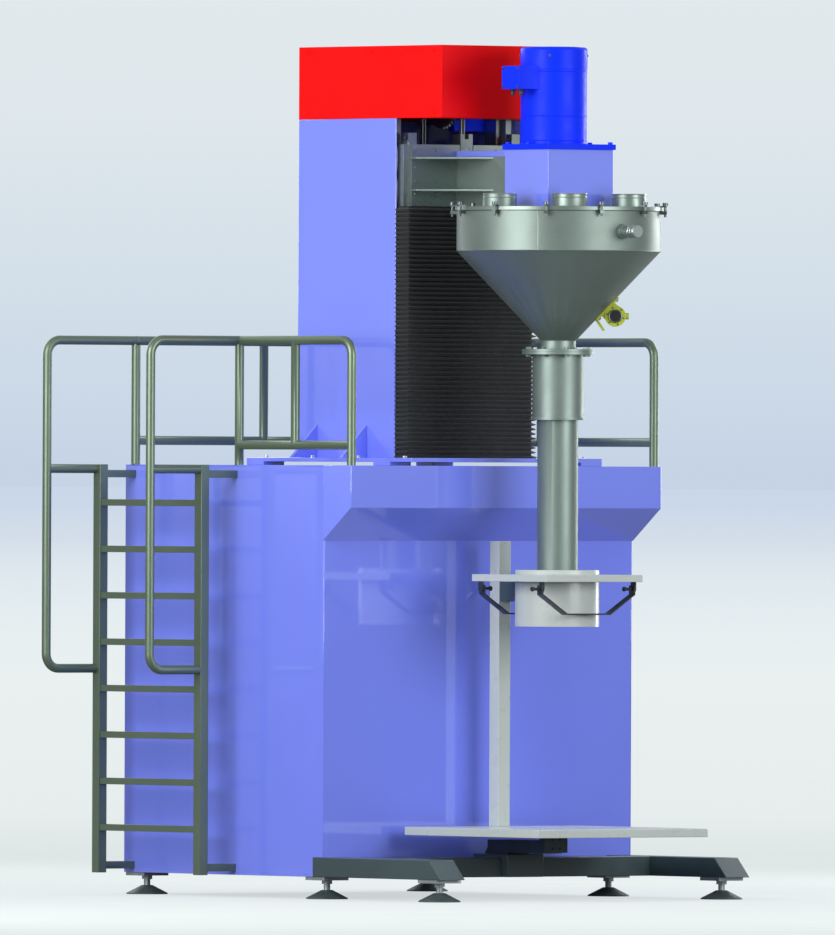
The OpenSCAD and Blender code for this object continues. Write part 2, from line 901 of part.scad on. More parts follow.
module cabinet_frame() {
    x = cab_in_x - frame_post / 2;
    half = frame_post / 2;
    in = half - frame_wall;
    beam_z = deck_under - beam_h;
    color(steel) at_datum() {
        both_sides() {
            for (y = post_ys) frame_tube(x, y, deck_under);
            for (y = beam_ys) frame_tube(x, y, beam_z);
        }
        for (y = beam_ys) difference() {
            block(-cab_in_x, cab_in_x, y - half, y + half, beam_z, deck_under);
            block(-cab_x, cab_x, y - in, y + in, beam_z + frame_wall, deck_under - frame_wall);
        }
    }
}

module deck() {
    color(lavender) at_datum()
        block(-cab_x, cab_x, cab_front, cab_back, deck_under, deck_z);
}

module canopy() {
    x = cab_x + canopy_over;
    low = deck_z - canopy_drop;
    lip = deck_z - fascia_h;
    run = cab_front - canopy_front;
    skin = canopy_t * sqrt(1 + pow((lip - low) / run, 2));
    color(lavender) at_datum() difference() {
        prism_x(-x, x, [[canopy_front, deck_z], [canopy_front, lip], [cab_front, low],
            [cab_front, deck_z]]);
        prism_x(-x + canopy_t, x - canopy_t, [[canopy_front + canopy_t, deck_z - canopy_t],
            [canopy_front + canopy_t, lip + skin], [cab_front + cut, low + skin],
            [cab_front + cut, deck_z - canopy_t]]);
    }
}

// Mounting plate hung from the rear deck beam, with its switchgear
module control_panel() {
    y = beam_ys[1];
    top = deck_under - beam_h;
    half = 600;
    plate_t = 5;
    low = 700;
    face = y + plate_t;
    color(steel) at_datum() {
        block(-half, half, y, face, low, top);
        for (x = [-520, -260]) block(x, x + 200, face, face + 180, 1450, 1800);
        for (i = [0:7]) block(20 + i * 65, 70 + i * 65, face, face + 90, 1600, 1690);
        block(20, 320, face, face + 75, 1900, 2020);
        for (z = [900, 1150]) block(-520, 520, face, face + 45, z, z + 60);
    }
}

// ---- Rear doors ----

module door_hinges() {
    half = hinge_len / 2;
    leaf_t = 4;
    color(steel) at_datum() both_sides() for (z = hinge_zs) {
        block(hinge_x + 5, hinge_x + 46, cab_back, cab_back + leaf_t, z - half, z + half);
        block(hinge_x, hinge_x + 10, cab_back, cab_back + leaf_t + 4, z - half, z - 1);
        rod_z(z - half, z - 1, hinge_x, hinge_y, hinge_r);
        rod_z(z - half, z + half, hinge_x, hinge_y, hinge_pin_r);
    }
}

// Right-hand door, seen from above: hinged at +X
module door_leaf() {
    half = hinge_len / 2;
    edge = door_gap + door_w;
    top = door_z + door_h;
    outer = door_y + door_t;
    difference() {
        block(door_gap, edge, door_y, outer, door_z, top);
        block(door_gap + door_sheet, edge - door_sheet, door_y - cut, outer - door_sheet,
            door_z + door_sheet, top - door_sheet);
    }
    for (z = hinge_zs) difference() {
        union() {
            rod_z(z + 1, z + half, hinge_x, hinge_y, hinge_r);
            block(edge, hinge_x, hinge_y - 4, hinge_y + 4, z + 1, z + half);
        }
        rod_z(z, z + half + cut, hinge_x, hinge_y, hinge_pin_r + fit);
    }
    for (z = [handle_z, handle_z + handle_len - handle_bar])
        block(60, 60 + handle_bar, outer, outer + handle_out - handle_bar, z, z + handle_bar);
    block(60, 60 + handle_bar, outer + handle_out - handle_bar, outer + handle_out, handle_z,
        handle_z + handle_len);
}

module left_door() {
    color(lavender) at_datum() mirror([1, 0, 0]) door_leaf();
}

module right_door() {
    color(lavender) at_datum() door_leaf();
}

// ---- Ladder and rails ----

module ladder_stringers() {
    tie_h = 40;
    tie_w = 20;
    hx = str_x / 2;
    hy = str_y / 2;
    w = str_wall;
    color(rail_olive) at_datum() for (y = [str_near, str_far]) {
        difference() {
            block(-lad_x - hx, -lad_x + hx, y - hy, y + hy, cab_bottom, deck_z);
            block(-lad_x - hx + w, -lad_x + hx - w, y - hy + w, y + hy - w, cab_bottom - cut,
                deck_z - w);
        }
        for (z = [cab_bottom + 20, deck_under - 60])
            block(-lad_x + hx, -cab_x, y - tie_w, y + tie_w, z, z + tie_h);
    }
}

module ladder_rungs() {
    h = rung_h / 2;
    d = rung_d / 2;
    w = 2.5;
    y0 = str_near + str_y / 2;
    y1 = str_far - str_y / 2;
    color(rail_olive) at_datum() for (i = [0:rung_n - 1]) {
        z = rung_z + i * rung_pitch;
        difference() {
            block(-lad_x - d, -lad_x + d, y0, y1, z - h, z + h);
            block(-lad_x - d + w, -lad_x + d - w, y0 - cut, y1 + cut, z - h + w, z + h - w);
        }
    }
}

module handrail_loops() {
    top_x = -loop_x + bend_r;
    color(rail_olive) at_datum() for (y = [gate_y, back_y]) {
        rail_run_x(top_x, -rail_x + rail_r, y, rail_z);
        translate([top_x, y, rail_z - bend_r]) rotate([90, 0, 180]) mirror([0, 0, 1]) rail_bend();
        rail_run_z(loop_z + bend_r, rail_z - bend_r, -loop_x, y);
        translate([top_x, y, loop_z + bend_r]) rotate([90, 180, 0]) rail_bend();
        rail_run_x(top_x, -lad_x - str_x / 2, y, loop_z);
        difference() {
            rail_run_x(-loop_x, -lad_x - str_x / 2, y, deck_z - tube_seat);
            rod_z(loop_z, rail_z, -loop_x, y, rail_r);
        }
    }
}

// Upright saddled under the top rail's underside
module rail_post(x, y, z0) {
    difference() {
        rail_run_z(z0, rail_z, x, y);
        rod_x(x - 2 * rail_r, x + 2 * rail_r, y, rail_z, rail_r);
        rod_y(y - 2 * rail_r, y + 2 * rail_r, x, rail_z, rail_r);
    }
}

// Baluster between a bottom rail and the top rail, both along Y
module baluster_y(x, y, z_low) {
    difference() {
        rail_run_z(z_low, rail_z, x, y);
        rod_y(y - 2 * rail_r, y + 2 * rail_r, x, rail_z, rail_r);
        rod_y(y - 2 * rail_r, y + 2 * rail_r, x, z_low, rail_r);
    }
}

module baluster_x(x, y, z_low) {
    difference() {
        rail_run_z(z_low, rail_z, x, y);
        rod_x(x - 2 * rail_r, x + 2 * rail_r, y, rail_z, rail_r);
        rod_x(x - 2 * rail_r, x + 2 * rail_r, y, z_low, rail_r);
    }
}

// Side panel from y1 forward to the front post, with a bend at its front top corner
module side_panel(x, y1, mid, toe) {
    low = deck_z + toe;
    front = rail_front + bend_r;
    difference() {
        rail_run_y(front, y1, x, rail_z);
        rod_x(x - 2 * rail_r, x + 2 * rail_r, y1, rail_z, rail_r);
    }
    translate([x, front, rail_z - bend_r]) rotate([0, 0, -90]) rotate([90, 0, 0]) rail_bend();
    rail_run_z(deck_z, rail_z - bend_r, x, rail_front);
    difference() {
        rail_run_y(rail_front, y1, x, low);
        rod_z(deck_z, rail_z, x, rail_front, rail_r);
        rod_z(deck_z, rail_z, x, y1, rail_r);
    }
    baluster_y(x, mid, low);
}

module guardrails() {
    low = deck_z + toe_back;
    color(rail_olive) at_datum() {
        side_panel(-rail_x, gate_y, rail_mid, toe_side);
        rail_post(-rail_x, gate_y, deck_z);
        rail_post(-rail_x, back_y, deck_z);
        rail_run_x(-rail_x + rail_r, rail_x + rail_r, back_y, rail_z);
        difference() {
            rail_run_x(-rail_x, rail_x, back_y, low);
            rod_z(deck_z, rail_z, -rail_x, back_y, rail_r);
            rod_z(deck_z, rail_z, rail_x, back_y, rail_r);
        }
        for (x = [-rail_back_x, rail_back_x]) baluster_x(x, back_y, low);
        rail_post(rail_x, back_y, deck_z);
        side_panel(rail_x, back_y, rail_mid_right, toe_back);
        baluster_y(rail_x, gate_y, low);
    }
}

// ---- Lift column ----

module column_base() {
    pad_w = 142;
    pad_d = 148;
    pads = [[base_x - pad_w, base_front], [-base_x, base_front + 186],
        [base_x - pad_w, base_back - pad_d], [-base_x, base_back - pad_d]];
    color(lavender) at_datum() {
        block(-base_x, base_x, base_front, base_back, base_z, col_z);
        for (p = pads) block(p[0], p[0] + pad_w, p[1], p[1] + pad_d, deck_z, base_z);
    }
}

module column_walls() {
    color(lavender) at_datum() {
        both_sides() block(col_in_x, col_x, col_front, col_back, col_z, col_top);
        block(-col_in_x, col_in_x, col_back - col_wall, col_back, col_z, col_top);
    }
}

module column_gussets() {
    h = gusset_t / 2;
    rear = base_back - col_back - 5;
    color(lavender) at_datum() {
        both_sides() for (y = [col_front + 249, col_back - 169])
            prism_y(y - h, y + h, [[col_x, col_z], [col_x + gusset_w, col_z],
                [col_x, col_z + gusset_w]]);
        for (x = [-250, 250])
            prism_x(x - h, x + h, [[col_back, col_z], [col_back + rear, col_z],
                [col_back, col_z + gusset_w]]);
    }
}

module column_cap() {
    top = col_top + cap_h;
    t = cap_t;
    floor_y = car_y - 20;
    color(cap_red) at_datum() {
        difference() {
            block(-col_x, col_x, cap_front, col_back, col_top, top);
            block(-col_x + t, col_x - t, floor_y, col_back - t, col_top - cut, top - t);
            block(-col_x + t, col_x - t, cap_front + t, floor_y + cut, col_top + t, top - t);
        }
    }
}

module guide_rails() {
    half = gpost_w / 2;
    in = half - frame_wall;
    color(steel) at_datum() both_sides() {
        difference() {
            block(gpost_x - half, gpost_x + half, gpost_y, gpost_y + gpost_w, col_z, col_top);
            block(gpost_x - in, gpost_x + in, gpost_y + frame_wall,
                gpost_y + gpost_w - frame_wall, col_z - cut, col_top - frame_wall);
        }
        block(gpost_x - grail_w / 2, gpost_x + grail_w / 2, gpost_y - grail_d, gpost_y, col_z,
            col_top);
    }
}

// ---- Hoist ----

module chain_outline(r) {
    for (z = [wheel_z, idler_z]) translate([wheel_y, z]) circle(r = r, $fn = round_fn);
    translate([wheel_y - r, idler_z]) square([2 * r, wheel_z - idler_z]);
}

module chain_strand(x0, x1) {
    translate([x0, 0, 0]) rotate([90, 0, 90]) linear_extrude(height = x1 - x0) difference() {
        chain_outline(wheel_r + chain_thick);
        chain_outline(wheel_r - chain_thick);
    }
}

module hoist_chain() {
    color(dark_metal) at_datum() both_sides() chain_strand(chain_half / 2, chain_half);
}

// Pillow block standing under a shaft that runs along X
module pillow(x, w, z0, z) {
    r = hoist_r + 25;
    difference() {
        union() {
            block(x - w / 2, x + w / 2, wheel_y - r, wheel_y + r, z0, z);
            rod_x(x - w / 2, x + w / 2, wheel_y, z, r);
        }
        rod_x(x - w, x + w, wheel_y, z, hoist_r + fit);
    }
}

module hoist_bearings() {
    color(steel) at_datum() for (s = [-1, 1]) {
        pillow(s * gpost_x, 60, col_top, wheel_z);
        pillow(s * 110, 40, col_z, idler_z);
    }
}

module hoist_motor() {
    beam_y = gpost_y + gpost_w + 2;
    gbox = 80;
    x0 = 200;
    x1 = 320;
    shelf_x = 120;
    color(motor_blue) at_datum() {
        block(shelf_x, col_in_x, beam_y, beam_y + 50, col_top - 60, col_top);
        difference() {
            block(x0, x1, wheel_y - gbox, wheel_y + gbox, wheel_z - gbox, wheel_z + gbox);
            rod_x(x0 - cut, x1 + cut, wheel_y, wheel_z, hoist_r + fit);
        }
        block(x0, x1, beam_y, wheel_y + gbox, col_top, wheel_z - gbox);
        rod_y(wheel_y + gbox, wheel_y + gbox + 300, (x0 + x1) / 2, wheel_z, gbox);
    }
}

wheel_teeth = 42;
module chain_wheel(half_shaft, z) {
    tip = wheel_r + 2;
    root = wheel_r - chain_thick;
    half_tooth = 90 / wheel_teeth;
    points = [for (i = [0:wheel_teeth - 1]) each [
        for (c = [[-1.1, root], [-0.5, tip], [0.5, tip], [1.1, root]])
            let (a = i * 360 / wheel_teeth + c[0] * half_tooth)
            [wheel_y + c[1] * cos(a), z + c[1] * sin(a)]]];
    web = chain_half / 2 - 0.5;
    prism_x(-web, web, points);
    rod_x(-chain_half, chain_half, wheel_y, z, root - 0.3);
    rod_x(-30, 30, wheel_y, z, 2 * hoist_r);
    rod_x(-half_shaft, half_shaft, wheel_y, z, hoist_r);
}

module hoist_wheel() {
    color(steel) at_datum() chain_wheel(gpost_x + 35, wheel_z);
}

module idler_wheel() {
    color(steel) at_datum() chain_wheel(135, idler_z);
}

// ---- Bellows ----

module bellows() {
    in_x = bel_x - bel_front_t;
    core_x = bel_x - bel_fold;
    back = bel_y + bel_d;
    color(black) at_datum() difference() {
        union() {
            block(-core_x, core_x, bel_y + bel_fold, back, col_z, bel_top);
            for (i = [0:bel_n - 1])
                block(-bel_x, bel_x, bel_y, back, col_z + i * bel_pitch,
                    col_z + (i + 0.5) * bel_pitch);
        }
        block(-in_x, in_x, bel_y + bel_front_t, back + cut, col_z - cut, bel_top + cut);
    }
}

// ---- Carriage ----

module carriage_plate() {
    bolt_h = 6;
    notch = 45;
    color(steel) at_datum() {
        difference() {
            block(-car_x, car_x, car_y, car_back, car_z, car_top);
            block(-notch, notch, car_y - cut, car_back + cut, anchor_z, car_top + cut);
        }
        for (s = [-1, 1], x = [205, 345], z = [66, 136, 206, 302])
            rod_y(car_y - bolt_h, car_y, s * x, car_z + z, car_bolt_r);
    }
}

// Guide shoe round a rail
module guide_shoe(z0, z1) {
    half = 45;
    slot = grail_w / 2 + shoe_gap;
    difference() {
        block(gpost_x - half, gpost_x + half, car_back + frame_d, shoe_back, z0, z1);
        block(gpost_x - slot, gpost_x + slot, gpost_y - grail_d - shoe_gap, shoe_back + cut,
            z0 - cut, z1 + cut);
    }
}

module carriage_frame() {
    x0 = 324;
    x1 = 414;
    bar = 50;
    slot = chain_half + 4;
    shoe_h = 120;
    color(steel) at_datum() {
        difference() {
            union() {
                both_sides() block(x0, x1, car_back, car_back + frame_d, car_z, car_top);
                for (z = [car_z, anchor_z - bar])
                    block(-x0, x0, car_back, car_back + frame_d, z, z + bar);
            }
            block(-slot, slot, chain_y - chain_thick - 4, chain_y + chain_thick + 4, car_z - cut,
                car_top);
        }
        both_sides() {
            guide_shoe(car_z + 20, car_z + 20 + shoe_h);
            guide_shoe(car_top - 20 - shoe_h, car_top - 20);
            difference() {
                block(x0, x0 + 54, car_back, car_back + frame_d, car_top, car_top + 62);
                rod_x(x0 - cut, x0 + 54 + cut, car_back + frame_d / 2, car_top + 36, 10);
            }
        }
    }
}

module chain_anchor() {
    half = 41;
    top = anchor_z + 91;
    gap_x = chain_half + chain_slot;
    y0 = chain_y - chain_thick - 2 * chain_slot;
    y1 = chain_y + chain_thick + 2 * chain_slot;
    color(steel) at_datum() {
        difference() {
            block(-half, half, car_y, car_back + frame_d, anchor_z, top);
            block(-gap_x, gap_x, y0, y1, anchor_z - cut, top + cut);
            block(-gap_x, gap_x, car_y - cut, y0 + cut, top - 27, top + cut);
        }
        for (x = [-20, 20]) rod_y(car_y - 4, car_y, x, anchor_z + 12, 6);
    }
}

module carriage_arm() {
    w = carm_wall;
    top = car_z + carm_h;
    reach = 320;
    color(steel) at_datum() difference() {
        union() {
            block(-carm_x, carm_x, dbox_y, car_y, car_z, top);
            for (z = [car_z + 81, top - 13]) prism_z(z, z + 11,
                [[-car_x, car_y], [-car_x, car_y - 40], [-carm_x, car_y - reach],
                    [carm_x, car_y - reach], [car_x, car_y - 40], [car_x, car_y]]);
        }
        block(-carm_x + w, carm_x - w, dbox_y + w, car_y - w, car_z + w, top - w);
    }
}

module arm_cover() {
    z = car_z + carm_h;
    t = 3;
    color(lavender) at_datum() difference() {
        block(-carm_x, carm_x, dbox_y, car_y, z, z + carm_cover);
        block(-carm_x + t, carm_x - t, dbox_y + t, car_y - t, z - cut, z + carm_cover - t);
    }
}

// ---- Hopper ----

module hopper_shell() {
    w = hop_wall;
    color(steel) at_datum() rotate_extrude($fn = round_fn)
        polygon([[tube_r - w, cone_z], [tube_r, cone_z], [hop_r, shell_z], [hop_r, lid_z],
            [hop_r - w, lid_z], [hop_r - w, shell_z]]);
}

inlets = [-inlet_angle, inlet_angle, 90, -90];
module at_inlets() {
    for (a = inlets) rotate([0, 0, a]) translate([0, -inlet_pcr, 0]) children();
}

lid_rim = 35;
lid_sheet = 5;
module hopper_lid() {
    color(steel) at_datum() difference() {
        union() {
            translate([0, 0, lid_z]) cylinder(r = lid_r, h = lid_t, $fn = round_fn);
            at_inlets() rod_z(lid_top - cut, lid_top + inlet_h, 0, 0, inlet_r);
        }
        translate([0, 0, lid_z - cut])
            cylinder(r = lid_r - lid_rim, h = lid_t - lid_sheet + cut, $fn = round_fn);
        at_inlets() rod_z(lid_z - cut, lid_top + inlet_h + cut, 0, 0, inlet_r - inlet_wall);
        rod_z(lid_z - cut, lid_top + cut, 0, 0, sleeve_r + 2);
    }
}

// Eye bolt and knob that hold the lid down on the shell
module lid_clamps() {
    bolt = lid_r + 17;
    step = 360 / lid_clamp_n;
    color(dark_metal) at_datum() for (i = [0:lid_clamp_n - 1]) rotate([0, 0, (i + 0.5) * step]) {
        difference() {
            block(hop_r - 10, bolt + 10, -11, 11, lid_z - 18, lid_z);
            translate([0, 0, lid_z - 20]) cylinder(r = hop_r, h = 40, $fn = round_fn);
        }
        rod_z(lid_z - 32, lid_top + 20, bolt, 0, 7);
        block(lid_r - 12, bolt + 8, -9, 9, lid_top, lid_top + 8);
        rod_z(lid_top + 8, lid_top + 24, bolt, 0, 15);
    }
}

module level_sensor() {
    z = shell_z + 101;
    color(steel) at_datum() difference() {
        union() {
            rod_y(front_y, -hop_r + 20, 0, z, sensor_r);
            rod_y(-hop_r - 30, -hop_r + 20, 0, z, sensor_r + 8);
        }
        translate([0, 0, z - 100]) cylinder(r = hop_r, h = 200, $fn = round_fn);
    }
}

// Pneumatic vibrator on a pad that is welded to the cone
vib_angle = -38;
vib_r = 259;
module hopper_vibrator() {
    lean = atan(1 / cone_k);
    vib_z = cone_z + (vib_r - tube_r) / cone_k;
    body_r = 56;
    body_w = 64;
    port_r = 37;
    color(safety_yellow) at_datum() difference() {
        rotate([0, 0, vib_angle]) translate([vib_r, 0, vib_z]) rotate([0, 180 - lean, 0]) {
            block(-84, 84, -36, 36, -30, 10);
            translate([0, 0, 62]) {
                rod_y(-body_w / 2, body_w / 2, 0, 0, body_r);
                rod_y(-body_w / 2 - 8, body_w / 2 + 8, 0, 0, port_r);
                block(-50, 50, -26, 26, -53, 0);
                rotate([0, lean - 90, 0]) rod_z(0, 72, 0, 0, 17);
            }
            rotate([0, 12, 0]) block(74, 88, -16, 16, 0, 90);
        }
        translate([0, 0, cone_z]) rotate_extrude($fn = round_fn)
            polygon([[0, 0], [tube_r, 0], [hop_r, cone_h], [0, cone_h]]);
    }
}

// ---- Dosing tube ----

flange_mid = flange_z + flange_t / 2;
flange_bolts = 8;
module flange_holes(r) {
    for (i = [0:flange_bolts - 1]) rotate([0, 0, (i + 0.5) * 360 / flange_bolts])
        rod_z(flange_z - cut, flange_z + flange_t + cut, flange_bolt_pcr, 0, r);
}

module dosing_tube() {
    color(steel) at_datum() difference() {
        union() {
            round_shell(tube_z, cone_z, tube_r, tube_r - tube_wall);
            round_shell(flange_mid, flange_z + flange_t, flange_r, tube_r - tube_wall / 2);
        }
        flange_holes(9);
    }
}

module tube_jackets() {
    bore = tube_r + bush_fit;
    cap_h2 = 8;
    color(steel) at_datum() {
        difference() {
            union() {
                round_shell(ring_z + ring_t, flange_mid, jacket2_r, jacket2_r - jacket_wall);
                round_shell(flange_z, flange_mid, flange_r, bore);
            }
            flange_holes(9);
        }
        round_shell(ring_z, ring_z + ring_t, ring_r, bore);
        round_shell(tube_z, ring_z, jacket_r, jacket_r - jacket_wall);
        round_shell(tube_z, tube_z + cap_h2, jacket_r - jacket_wall, bore);
        difference() {
            rod_x(jacket2_r - 20, jacket2_r + 12, 0, ring_z + 183, 14);
            translate([0, 0, ring_z]) cylinder(r = jacket2_r, h = 400, $fn = round_fn);
        }
        for (i = [0:flange_bolts - 1]) rotate([0, 0, (i + 0.5) * 360 / flange_bolts]) {
            rod_z(flange_z - 12, flange_z + flange_t + 4, flange_bolt_pcr, 0, 8);
            hex_z(flange_z + flange_t, flange_z + flange_t + 11, flange_bolt_pcr, 0, 14);
            hex_z(flange_z - 12, flange_z, flange_bolt_pcr, 0, 14);
        }
    }
}

// ---- Drive ----

module drive_box() {
    w = dbox_wall;
    color(lavender) at_datum() difference() {
        block(-dbox_x, dbox_x, -dbox_y, dbox_y, lid_top, dbox_top);
        block(-dbox_x + w, dbox_x - w, -dbox_y + w, dbox_y - w, lid_top + w, dbox_top + cut);
        rod_z(lid_top - cut, lid_top + w + cut, 0, 0, sleeve_r + 2);
    }
}

module drive_plate() {
    x = dbox_x + dplate_over;
    y = dbox_y + dplate_over;
    color(motor_blue) at_datum() {
        difference() {
            block(-x, x, -y, y, dbox_top, dplate_top);
            rod_z(dbox_top - cut, dplate_top + cut, 0, motor_y, 14);
        }
        for (bx = [-x + 22, x - 22], by = [-y + 22, 0, y - 22])
            hex_z(dplate_top, dplate_top + 12, bx, by, 14);
    }
}

module drive_motor() {
    top = dplate_top + motor_h;
    seam = top - cowl_h;
    color(motor_blue) at_datum() translate([0, motor_y, 0]) {
        difference() {
            union() {
                translate([0, 0, dplate_top]) cylinder(r = motor_r, h = seam - dplate_top,
                    $fn = round_fn);
                block(-motor_r - 118, -motor_r + 30, -75, 75, dplate_top + 292,
                    dplate_top + 415);
            }
            translate([0, 0, dplate_top - cut])
                cylinder(r = motor_r - 25, h = seam - dplate_top - 20, $fn = round_fn);
        }
        bearing_ring(dplate_top + 20, dplate_top + 50, 0, 0, motor_r - 20, 12 + fit);
        rotate_extrude($fn = round_fn) polygon([[0, seam], [motor_r + 3, seam],
            [motor_r + 3, top - 14], [motor_r - 3, top - 4], [motor_r - 13, top], [0, top]]);
    }
}

module gear_bearings() {
    box_floor = lid_top + dbox_wall;
    color(steel) at_datum() {
        bearing_ring(dbox_top - bearing_h, dbox_top, 0, 0, shaft_r + 9, shaft_r + fit);
        bearing_ring(box_floor, box_floor + bearing_h, 0, 0, sleeve_r + 20, sleeve_r + fit);
        bearing_ring(dbox_top - 24, dbox_top, lay_x, 0, lay_r + 13, lay_r + fit);
        bearing_ring(box_floor, box_floor + 24, lay_x, 0, lay_r + 13, lay_r + fit);
    }
}

auger_teeth = 20;
pinion_teeth = 12;
wheel_lay_teeth = 50;
pinion_lay_teeth = 15;
agitator_teeth = 55;
lay_r = 15;

// Screw flight, a ring sector that climbs one pitch a turn
module flight(z0, z1) {
    sector = flight_t / flight_pitch * 360;
    inner = shaft_r + 0.3;
    turns = (z1 - z0) / flight_pitch;
    points = concat([for (a = [0, sector / 2, sector]) flight_r * [cos(a), sin(a)]],
        [for (a = [sector, sector / 2, 0]) inner * [cos(a), sin(a)]]);
    translate([0, 0, z0]) linear_extrude(height = z1 - z0, twist = -360 * turns,
        slices = round(turns * 12)) polygon(points);
}

module auger() {
    color(steel) at_datum() {
        rod_z(tube_z + 10, dbox_top - 4, 0, 0, shaft_r);
        flight(tube_z + 12, cone_z + 15);
        gear(auger_teeth, gear_hi_z, shaft_r);
    }
}

module agitator() {
    gap = scrape_gap * cone_len;
    band = scrape_w * cone_len;
    r_side = hop_r - hop_wall - scrape_gap;
    z_corner = cone_z + (r_side + gap - tube_r + hop_wall) / cone_k;
    z_low = cone_z + 115;
    r_low = tube_r - hop_wall + (z_low - cone_z) * cone_k - gap;
    z_top = lid_z - 37;
    color(steel) at_datum() {
        difference() {
            union() {
                rod_z(shell_z - 80, gear_lo_z + gear_face + 15, 0, 0, sleeve_r);
                both_sides() prism_y(-scrape_t / 2, scrape_t / 2, [
                    [sleeve_r - 2, z_top], [r_side, z_top], [r_side, z_corner], [r_low, z_low],
                    [r_low - band, z_low], [r_side - scrape_w, z_corner + scrape_w / 2],
                    [r_side - scrape_w, z_top - scrape_w], [sleeve_r - 2, z_top - scrape_w]]);
            }
            rod_z(cone_z, dbox_top, 0, 0, sleeve_in);
        }
        rotate([0, 0, 180 / agitator_teeth]) gear(agitator_teeth, gear_lo_z, sleeve_r);
    }
}

module motor_pinion() {
    color(steel) at_datum() translate([0, motor_y, 0]) {
        rod_z(gear_hi_z, dplate_top + 60, 0, 0, 12);
        rotate([0, 0, 270 + 180 / pinion_teeth]) gear(pinion_teeth, gear_hi_z, 11);
    }
}

module lay_shaft() {
    color(steel) at_datum() translate([lay_x, 0, 0]) {
        rod_z(lid_top + dbox_wall + 2, dbox_top - 2, 0, 0, lay_r);
        rotate([0, 0, 180 + 180 / wheel_lay_teeth]) gear(wheel_lay_teeth, gear_hi_z, lay_r - 1);
        rotate([0, 0, 180]) gear(pinion_lay_teeth, gear_lo_z, lay_r - 1);
    }
}

foot_pads();
foot_screws();
outriggers();
cross_beam();
weigh_arm();
weigh_platform();
platform_frame();
bag_post();
clamp_bracket();
clamp_plate();
bag_spout();
bail_pivots();
front_bail();
rear_bail();
cabinet_floor();
cabinet_sides();
cabinet_front();
cabinet_back();
cabinet_frame();
deck();
canopy();
control_panel();
door_hinges();
left_door();
right_door();
ladder_stringers();
ladder_rungs();
handrail_loops();
guardrails();
column_base();
column_walls();
column_gussets();
column_cap();
guide_rails();
hoist_chain();
hoist_bearings();
hoist_motor();
hoist_wheel();
idler_wheel();
bellows();
carriage_plate();
carriage_frame();
chain_anchor();
carriage_arm();
arm_cover();
hopper_shell();
hopper_lid();
lid_clamps();
level_sensor();
hopper_vibrator();
dosing_tube();
tube_jackets();
drive_box();
drive_plate();
drive_motor();
gear_bearings();
auger();
agitator();
motor_pinion();
lay_shaft();
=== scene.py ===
"""Looks of a bulk powder filling machine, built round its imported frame."""
import json
import math

import bmesh
import bpy
from mathutils import Matrix, Vector

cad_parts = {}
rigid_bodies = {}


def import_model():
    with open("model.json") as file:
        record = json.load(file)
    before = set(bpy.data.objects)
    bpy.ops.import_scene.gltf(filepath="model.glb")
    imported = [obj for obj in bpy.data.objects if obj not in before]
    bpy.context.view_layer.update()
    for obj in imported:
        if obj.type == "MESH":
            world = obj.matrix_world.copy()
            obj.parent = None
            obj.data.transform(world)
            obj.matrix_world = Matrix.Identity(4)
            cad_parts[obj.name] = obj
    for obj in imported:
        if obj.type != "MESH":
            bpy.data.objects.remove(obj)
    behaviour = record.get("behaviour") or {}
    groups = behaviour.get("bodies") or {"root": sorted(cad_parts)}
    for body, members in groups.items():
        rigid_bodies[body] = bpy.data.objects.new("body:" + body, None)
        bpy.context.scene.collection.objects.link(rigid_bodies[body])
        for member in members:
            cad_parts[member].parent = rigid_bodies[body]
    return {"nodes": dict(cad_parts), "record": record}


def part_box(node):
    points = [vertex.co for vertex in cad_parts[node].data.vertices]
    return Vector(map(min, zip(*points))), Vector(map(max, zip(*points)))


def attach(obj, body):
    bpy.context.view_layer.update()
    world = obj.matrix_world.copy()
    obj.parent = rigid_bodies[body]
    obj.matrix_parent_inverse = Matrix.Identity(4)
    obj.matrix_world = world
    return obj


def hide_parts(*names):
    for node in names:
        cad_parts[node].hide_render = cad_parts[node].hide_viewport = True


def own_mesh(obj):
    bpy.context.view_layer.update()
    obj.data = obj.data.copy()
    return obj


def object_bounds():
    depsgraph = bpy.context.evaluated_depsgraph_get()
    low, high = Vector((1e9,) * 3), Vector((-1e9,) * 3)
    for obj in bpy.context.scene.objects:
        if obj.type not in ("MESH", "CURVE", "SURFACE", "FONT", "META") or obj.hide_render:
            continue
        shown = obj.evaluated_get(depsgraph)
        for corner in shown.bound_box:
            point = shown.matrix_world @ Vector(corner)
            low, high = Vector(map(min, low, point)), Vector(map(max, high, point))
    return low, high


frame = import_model()
cad_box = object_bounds()

FRAME_BODY = "machine_frame"
CARRIAGE = "carriage"
UP = (0, 0, 1)


# ---------------------------------------------------------------- materials

def new_material(name):
    """An empty node material, with its shader and its object-space coordinates."""
    mat = bpy.data.materials.new(name)
    mat.use_nodes = True
    tree = mat.node_tree
    tree.nodes.clear()
    out = tree.nodes.new("ShaderNodeOutputMaterial")
    shader = tree.nodes.new("ShaderNodeBsdfPrincipled")
    coords = tree.nodes.new("ShaderNodeTexCoord")
    tree.links.new(shader.outputs["BSDF"], out.inputs["Surface"])
    return mat, tree, shader, coords.outputs["Object"]


def noise(tree, vector, scale, detail=4.0, stretch=None):
    """Noise texture in metres, drawn out along one axis when stretch is given."""
    if stretch is not None:
        mapping = tree.nodes.new("ShaderNodeMapping")
        mapping.inputs["Scale"].default_value = stretch
        tree.links.new(vector, mapping.inputs["Vector"])
        vector = mapping.outputs["Vector"]
    node = tree.nodes.new("ShaderNodeTexNoise")
    node.inputs["Scale"].default_value = scale
    node.inputs["Detail"].default_value = detail
    tree.links.new(vector, node.inputs["Vector"])
    return node.outputs["Fac"]


